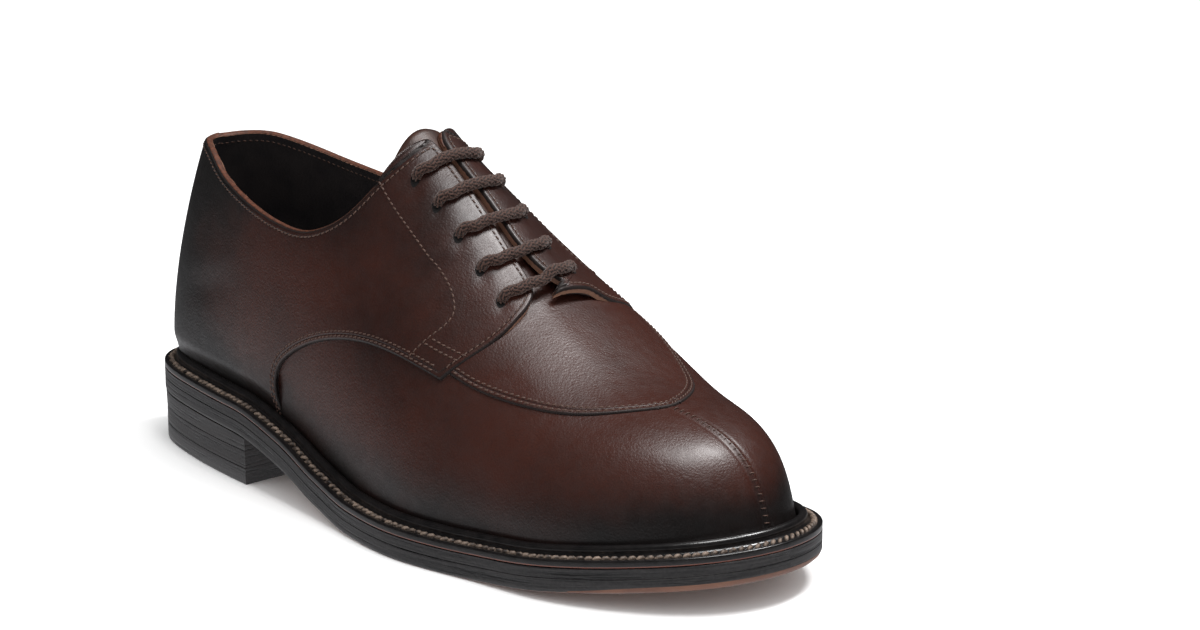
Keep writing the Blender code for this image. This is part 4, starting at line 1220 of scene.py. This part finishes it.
def weltLeather():
    finish = Finish("weltLeather", roughness=0.30, coat=0.5, coatRoughness=0.14)
    tone = finish.noise(260.0, 4.0)
    colour = finish.mix(finish.fit(tone, 0.3, 0.7), (0.0040, 0.0034, 0.0036), (0.0085, 0.0070, 0.0070))
    finish.set("Base Color", finish.mix(finish.value("trim"), colour, (0.085, 0.022, 0.012)))
    finish.set("Normal", finish.bump(finish.noise(1500.0, 3.0), 0.00007))
    return finish.material


weltThread = plainFinish(
    "weltThread", (0.016, 0.010, 0.008), (0.20, 0.145, 0.110),
    420.0, 0.5, 3500.0, 0.00010,
)
bottomFinish = plainFinish(
    "soleBottom", (0.085, 0.030, 0.016), (0.125, 0.050, 0.026),
    60.0, 0.5, 900.0, 0.00010,
)
buildWelt(weltLeather(), weltThread)


# midsole and outsole, then the stacked heel
layers = {"steps": 420, "heelSteps": 160, "seamDepth": 0.00012, "closeUp": 0.00011, "sharpFrom": 35}


def soleLoop(u, inset, height):
    edge = soleEdge(u, inset)
    return np.concatenate([edge, (underside(edge[:, 0]) + height)[:, None]], 1)


def buildSole():
    u = ringOf(layers["steps"])
    run = runRound(u)
    deep = layers["seamDepth"]
    close = layers["closeUp"]
    low, top = shoe["outsole"] + shoe["gap"] - close, midsoleTop + close
    loops = [soleLoop(u, 0.004, low), soleLoop(u, deep, low), soleLoop(u, 0, low + 0.00015),
             soleLoop(u, 0, low + 0.0012), soleLoop(u, 0, top - 0.0012), soleLoop(u, 0, top - 0.00015),
             soleLoop(u, deep, top), soleLoop(u, 0.012, top)]
    along = np.broadcast_to(run[:, None], (len(u), len(loops)))
    piece = ringLoft("midsoleEdge", loops, sideFinish, {"run": along}, (0, len(loops) - 1),
                     layers["sharpFrom"])
    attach(piece, "root")
    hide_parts("midsole")
    bevel = shoe["toeBevel"] * smoothStep(shareOf(soleEdge(u, 0.0)[:, 0]), 0.80, 0.93)
    thick = shoe["outsole"] + close
    loops = [soleLoop(u, 0.006, 0.0), soleLoop(u, 0.0016, 0.0), soleLoop(u, 0.0006, 0.00005 + 0.45 * bevel),
             soleLoop(u, 0.00015, 0.0003 + 0.85 * bevel), soleLoop(u, 0, 0.0006 + bevel),
             soleLoop(u, 0, 0.0014 + bevel), soleLoop(u, 0, thick - 0.0012), soleLoop(u, 0, thick - 0.00015),
             soleLoop(u, deep, thick)]
    along = np.broadcast_to(run[:, None], (len(u), len(loops)))
    piece = ringLoft("outsoleEdge", loops, sideFinish, {"run": along}, (0, len(loops) - 1),
                     layers["sharpFrom"])
    piece.data.materials.append(bottomFinish)
    for face in piece.data.polygons:
        front = shareOf(face.center.x) > 0.84 and face.normal.z < -0.15
        if face.normal.z < -0.45 or front:
            face.material_index = 1
    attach(piece, "root")
    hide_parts("outsole")


def heelLoop(steps, inset, height):
    stop = turnOf(shoe["heelLength"] / shoe["soleLength"])
    u = np.linspace(-stop, stop, 2 * steps)
    edge = soleEdge(u, inset)
    edge[:, 0] = np.minimum(edge[:, 0], shoe["heelLength"] / 2)
    edge[0, 0] = edge[-1, 0] = shoe["heelLength"] / 2
    z = height(edge[:, 0]) if callable(height) else height
    return np.concatenate([edge, np.broadcast_to(z, len(u))[:, None]], 1)


def buildHeel():
    steps, close = layers["heelSteps"], layers["closeUp"]
    first = shoe["topPiece"] + shoe["gap"]
    second = first + shoe["lift"] + shoe["gap"]
    flare, deep = shoe["edgeRound"], layers["seamDepth"]
    ends = (shoe["topPiece"] + close, first - close, first + shoe["lift"] + close, second - close)

    def under(x):
        return underside(x) - shoe["gap"] + close

    def lowUnder(x):
        return under(x) - deep
    stacks = {
        "top_piece": [(flare + 0.0004, 0.0), (flare + 0.0001, 0.0002), (flare, 0.0005),
                      (flare, ends[0] - deep), (flare + deep, ends[0])],
        "heel_lift_1": [(flare + deep, ends[1]), (flare, ends[1] + deep), (flare, ends[2] - deep),
                        (flare + deep, ends[2])],
        "heel_lift_2": [(flare + deep, ends[3]), (flare * 0.9, ends[3] + deep), (flare * 0.5, lowUnder),
                        (flare * 0.5 + deep, under)],
    }
    for node, stack in stacks.items():
        loops = [heelLoop(steps, inset, height) for inset, height in stack]
        points = np.stack(loops, 1)
        count, high = points.shape[:2]
        faces = gridFaces(count, high, wrap=True, flip=True)
        for level in (0, high - 1):
            for k in range(count // 2 - 1):
                corners = [k * high + level, (k + 1) * high + level, (count - k - 2) * high + level,
                           (count - k - 1) * high + level]
                faces.append(corners if level == 0 else corners[::-1])
        run = runLength(points[:, 0, :2])
        along = np.broadcast_to(run[:, None], (count, high))
        values = {"run": along, "level": points[..., 2]}
        piece = meshPiece(node + "Edge", points, faces, heelFinish, values, layers["sharpFrom"])
        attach(piece, "root")
        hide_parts(node)
        "top_piece_leather" if node == "top_piece" else "lift_leather"


buildSole()
buildHeel()
print("welt, sole and heel ready")

# tongue, and the laces through their eyelets
tongue = {
    "back": 0.448, "front": 0.650, "half": 0.0250, "rise": 0.0030, "riseHalf": 0.0190, "thick": 0.0020,
    "steps": 70, "across": 44,
}


def buildTongue():
    x = lengthAt(np.linspace(tongue["back"], tongue["front"], tongue["steps"]))
    share = shareOf(x)
    half = tongue["half"] * (1 - 0.25 * smoothStep(share, 0.60, tongue["front"]))
    spread = np.linspace(-1, 1, tongue["across"])
    plan = np.stack([np.broadcast_to(x[:, None], (len(x), len(spread))),
                     ridgeAt(x)[0][:, None] + half[:, None] * spread], -1)
    places, normals = dropped(baseFinder, plan.reshape(-1, 2), 0.0)
    places, normals = places.reshape(*plan.shape[:2], 3), normals.reshape(*plan.shape[:2], 3)
    away, wide = np.abs(half[:, None] * spread), tongue["riseHalf"]
    rise = tongue["rise"] * (1 - smoothStep(away, 0.2 * wide, wide))
    rise *= (1 - smoothStep(share, 0.600, 0.628))[:, None]
    edge = rollOver(np.minimum(half[:, None] * (1 - np.abs(spread)), (x - x[0])[:, None]), 0.0012)
    level = rise - shoe["wall"] - 2 * shoe["gap"]
    top = places + normals * (level - 0.0010 * (1 - edge))[..., None]
    under = places + normals * (level - tongue["thick"] + 0.0008 * (1 - edge))[..., None]
    rows, columns = top.shape[:2]
    count = rows * columns
    faces = gridFaces(rows, columns) + gridFaces(rows, columns, flip=True, start=count)
    rim = [(i, 0) for i in range(rows - 1)] + [(rows - 1, j) for j in range(columns - 1)]
    rim += [(i, columns - 1) for i in range(rows - 1, 0, -1)] + [(0, j) for j in range(columns - 1, 0, -1)]
    for (a, b), (c, d) in zip(rim, rim[1:] + rim[:1]):
        k, m = a * columns + b, c * columns + d
        faces.append([m, k, k + count, m + count])
    points = np.concatenate([top.reshape(-1, 3), under.reshape(-1, 3)])
    piece = meshPiece("tonguePanel", points, faces, tongueFinish)
    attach(piece, "root")
    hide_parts("tongue")


def laceRoute(outer, inner, upOuter, upInner):
    across = unit(inner - outer)
    bend, ends = laces["bend"], []
    for hit, up, sign in ((outer, upOuter, 1), (inner, upInner, -1)):
        flat = unit(across * sign - up * np.dot(across * sign, up))
        end = [hit - up * laces["dip"]]
        for degrees in (0, 25, 50, 75, 90):
            a = math.radians(degrees)
            end.append(hit + flat * bend * (1 - math.cos(a)) + up * bend * math.sin(a))
        ends.append(end)
    start, stop = ends[0][-1], ends[1][-1]
    share = np.linspace(0, 1, 9)[1:-1]
    middle = start + (stop - start) * share[:, None]
    middle[:, 0] += laces["bow"] * np.sin(math.pi * share)
    hits, ups = dropped(topFinder, middle[:, :2], quarterTop)
    middle = hits + ups * (laces["radius"] + 0.0002)
    return np.vstack([ends[0], middle, ends[1][::-1]])


def buildLaces(finish):
    outer, inner = eyeletPlan()
    outerHit, outerUp = dropped(topFinder, outer, quarterTop)
    innerHit, innerUp = dropped(topFinder, inner, quarterTop)
    for k in range(laces["count"]):
        path = smoothPath(laceRoute(outerHit[k], innerHit[k], outerUp[k], innerUp[k]), 20)
        path = eased(resample(path, laces["rings"]), 20)
        ahead = unit(np.gradient(path, axis=0))
        side = unit(np.cross(ahead, outerUp[k] + innerUp[k]))
        up = np.cross(side, ahead)
        run = runLength(path)[:, None]
        angle = np.arange(laces["sides"])[None] * 2 * math.pi / laces["sides"]
        half = laces["strands"] / 2
        a = half * angle / (2 * math.pi) * 2 + run / laces["plait"]
        b = half * angle / (2 * math.pi) * 2 - run / laces["plait"]
        over = (np.floor(a) + np.floor(b)) % 2
        ridge = np.where(over > 0, np.abs(np.sin(math.pi * a)), np.abs(np.sin(math.pi * b)))
        radius = laces["radius"] - laces["relief"] + laces["relief"] * 1.6 * ridge
        spoke = side[:, None] * np.cos(angle)[..., None] + up[:, None] * np.sin(angle)[..., None]
        points = path[:, None] + spoke * radius[..., None]
        rings, sides = points.shape[:2]
        i, j = np.meshgrid(np.arange(rings - 1), np.arange(sides), indexing="ij")
        i, j = i.ravel(), j.ravel()
        n = (j + 1) % sides
        here, after = i * sides, (i + 1) * sides
        faces = np.stack([after + j, after + n, here + n, here + j], 1).tolist()
        faces += [list(range(sides)), [(rings - 1) * sides + m for m in range(sides)][::-1]]
        # the plait height is kept for the painted shade in the braid's valleys
        piece = meshPiece(f"lace{k + 1}", points, faces, finish, {"plait": ridge})
        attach(piece, "root")
        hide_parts(f"lace_bar_{k + 1}")


def holeFaces(count):
    faces = []
    for start in (0, count):
        for k in range(count):
            m = (k + 1) % count
            faces.append([start + count + k, start + count + m, start + m, start + k])
    return faces


def buildHoleShade(finish):
    # dark discs of painted shade where the eyelets are punched, a little longer away from the slit
    angle = np.linspace(0, 2 * math.pi, 24, endpoint=False)
    parts = []
    for x, y in eyelets:
        away = np.sign(y - ridgeAt(x)[0])
        ring = []
        for radius in (0.0, 0.0010, 0.0017):
            across = y + away * 0.0003 + radius * 1.25 * np.sin(angle)
            ring.append(np.stack([x + radius * np.cos(angle), across], -1))
        places, normals = dropped(topFinder, np.concatenate(ring), quarterTop)
        places += normals * 0.00008
        parts.append((places, holeFaces(len(angle))))
    piece = meshPiece("eyeletHoleShade", *joinGrids(parts), finish)
    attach(piece, "root")


def laceFinish():
    finish = Finish("laceCotton", roughness=0.75, specular=0.3, sheen=0.15)
    # painted shade: the braid's valleys are darkened and its crests lighter, following the plait height
    deep = finish.fit(finish.value("plait"), 0.25, 0.95)
    fibre = finish.noise(2600.0, 3.0)
    colour = finish.mix(deep, (0.0035, 0.0016, 0.0013), (0.056, 0.0245, 0.0165))
    colour = finish.mix(finish.fit(fibre, 0.5, 0.8, 0.0, 0.35), colour, (0.085, 0.042, 0.030))
    finish.set("Base Color", colour)
    finish.set("Normal", finish.bump(fibre, 0.00012))
    return finish.material


tongueFinish = plainFinish(
    "tongueLeather", (0.050, 0.019, 0.011), (0.026, 0.011, 0.008),
    120.0, 0.42, 1500.0, 0.00007,
)
buildTongue()
buildLaces(laceFinish())
# painted shade: near-black colour for the discs that stand for the eyelet holes' dark inside
holeShadeFinish = plainFinish(
    "eyeletHolePaintedShade", (0.003, 0.002, 0.002), (0.006, 0.004, 0.004),
    900.0, 0.8, 2000.0, 0.00003,
)
buildHoleShade(holeShadeFinish)
sockFinish = plainFinish(
    "insoleLeather", (0.020, 0.015, 0.013), (0.032, 0.022, 0.018),
    80.0, 0.55, 1500.0, 0.00008,
)
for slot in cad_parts["insole"].material_slots:
    slot.material = sockFinish
print("tongue, laces and insole ready")

# floor, light and camera
studio = {
    "target": (0.1175, 0.0, 0.04), "azimuth": 48.35, "elevation": 15.93, "distance": 1.184,
    "focal": 3366.0, "seenAt": (460.87, 401.26), "frameWidth": 1200, "frameHeight": 630,
    "ambient": 1.05, "floorHalf": 3.0,
    # what gloss sees beside the boxes: height of the ray, grey
    "gloss": [(0.0, 0.9), (0.29, 0.85), (0.365, 0.40), (0.42, 0.03), (0.52, 0.010), (1.0, 0.02)],
    "boxes": [
        ("facingBox", (0.44, -0.02, 1.0), (0.44, 0.38), 6.4),
        ("toeBox", (0.42, 0.44, 1.0), (0.25, 0.22), 7.2),
    ],
}


def buildStudio():
    mesh = bpy.data.meshes.new("floor")
    half = studio["floorHalf"]
    corners = [(-half, -half, 0), (half, -half, 0), (half, half, 0), (-half, half, 0)]
    mesh.from_pydata(corners, [], [(0, 1, 2, 3)])
    floor = bpy.data.objects.new("floor", mesh)
    bpy.context.scene.collection.objects.link(floor)
    paper = Finish("floorPaper", roughness=0.9, specular=0.2)
    paper.set("Base Color", paper.mix(paper.noise(3.0), (0.93, 0.93, 0.93), (0.95, 0.95, 0.95)))
    floor.data.materials.append(paper.material)
    floor.visible_glossy = False
    buildWorld()
    for name, place, size, power in studio["boxes"]:
        light = bpy.data.lights.new(name, "AREA")
        light.shape = "RECTANGLE"
        light.size, light.size_y = size
        light.energy = power
        lamp = bpy.data.objects.new(name, light)
        bpy.context.scene.collection.objects.link(lamp)
        lamp.location = place
        lamp.rotation_euler = (Vector(studio["target"]) - Vector(place)).to_track_quat("-Z", "Y").to_euler()


def buildWorld():
    # even white air lights the floor; gloss sees a dark room with a pale floor below
    world = bpy.data.worlds.new("studioAir")
    world.use_nodes = True
    tree = world.node_tree
    bright = tree.nodes["Background"]
    bright.inputs["Color"].default_value = (1, 1, 1, 1)
    bright.inputs["Strength"].default_value = studio["ambient"]
    around = tree.nodes.new("ShaderNodeTexCoord")
    split = tree.nodes.new("ShaderNodeSeparateXYZ")
    height = tree.nodes.new("ShaderNodeMapRange")
    height.inputs["From Min"].default_value = -1
    ramp = tree.nodes.new("ShaderNodeValToRGB")
    stops = ramp.color_ramp.elements
    while len(stops) < len(studio["gloss"]):
        stops.new(0.5)
    for stop, (at, grey) in zip(stops, studio["gloss"]):
        stop.position = at
        stop.color = (grey, grey, grey * 1.03, 1)
    dim = tree.nodes.new("ShaderNodeBackground")
    rays = tree.nodes.new("ShaderNodeLightPath")
    blend = tree.nodes.new("ShaderNodeMixShader")
    for source, target in (
        (around.outputs["Generated"], split.inputs[0]), (split.outputs["Z"], height.inputs["Value"]),
        (height.outputs[0], ramp.inputs[0]), (ramp.outputs[0], dim.inputs["Color"]),
        (rays.outputs["Is Glossy Ray"], blend.inputs[0]), (bright.outputs[0], blend.inputs[1]),
        (dim.outputs[0], blend.inputs[2]), (blend.outputs[0], tree.nodes["World Output"].inputs["Surface"]),
    ):
        tree.links.new(source, target)
    bpy.context.scene.world = world
    bpy.context.scene.view_settings.view_transform = "Standard"


def buildCamera():
    az, el = math.radians(studio["azimuth"]), math.radians(studio["elevation"])
    back = Vector((math.sin(az) * math.cos(el), -math.cos(az) * math.cos(el), math.sin(el)))
    target = Vector(studio["target"])
    ahead = -back
    cx, cy = studio["seenAt"]
    f = studio["focal"]
    acrossView, downView = cx - studio["frameWidth"] / 2, cy - studio["frameHeight"] / 2
    seen = Vector((acrossView / f, -downView / f, 1)).normalized()
    tilt = math.asin(ahead.z / math.hypot(seen.y, seen.z)) - math.atan2(seen.y, seen.z)
    level = seen.z * math.cos(tilt) - seen.y * math.sin(tilt)
    turn = math.atan2(ahead.y, ahead.x) + math.atan2(seen.x, level)
    gaze = Vector((math.cos(tilt) * math.cos(turn), math.cos(tilt) * math.sin(turn), math.sin(tilt)))
    right = gaze.cross(Vector((0, 0, 1))).normalized()
    up = right.cross(gaze)
    data = bpy.data.cameras.new("photoCamera")
    data.sensor_width = 36.0
    data.lens = f / studio["frameWidth"] * 36.0
    data.clip_end = 20
    camera = bpy.data.objects.new("photoCamera", data)
    bpy.context.scene.collection.objects.link(camera)
    place = target + back * studio["distance"]
    rows = [(right[i], up[i], -gaze[i], place[i]) for i in range(3)] + [(0, 0, 0, 1)]
    camera.matrix_world = Matrix(rows)
    bpy.context.scene.camera = camera


buildStudio()
buildCamera()
print("studio ready")
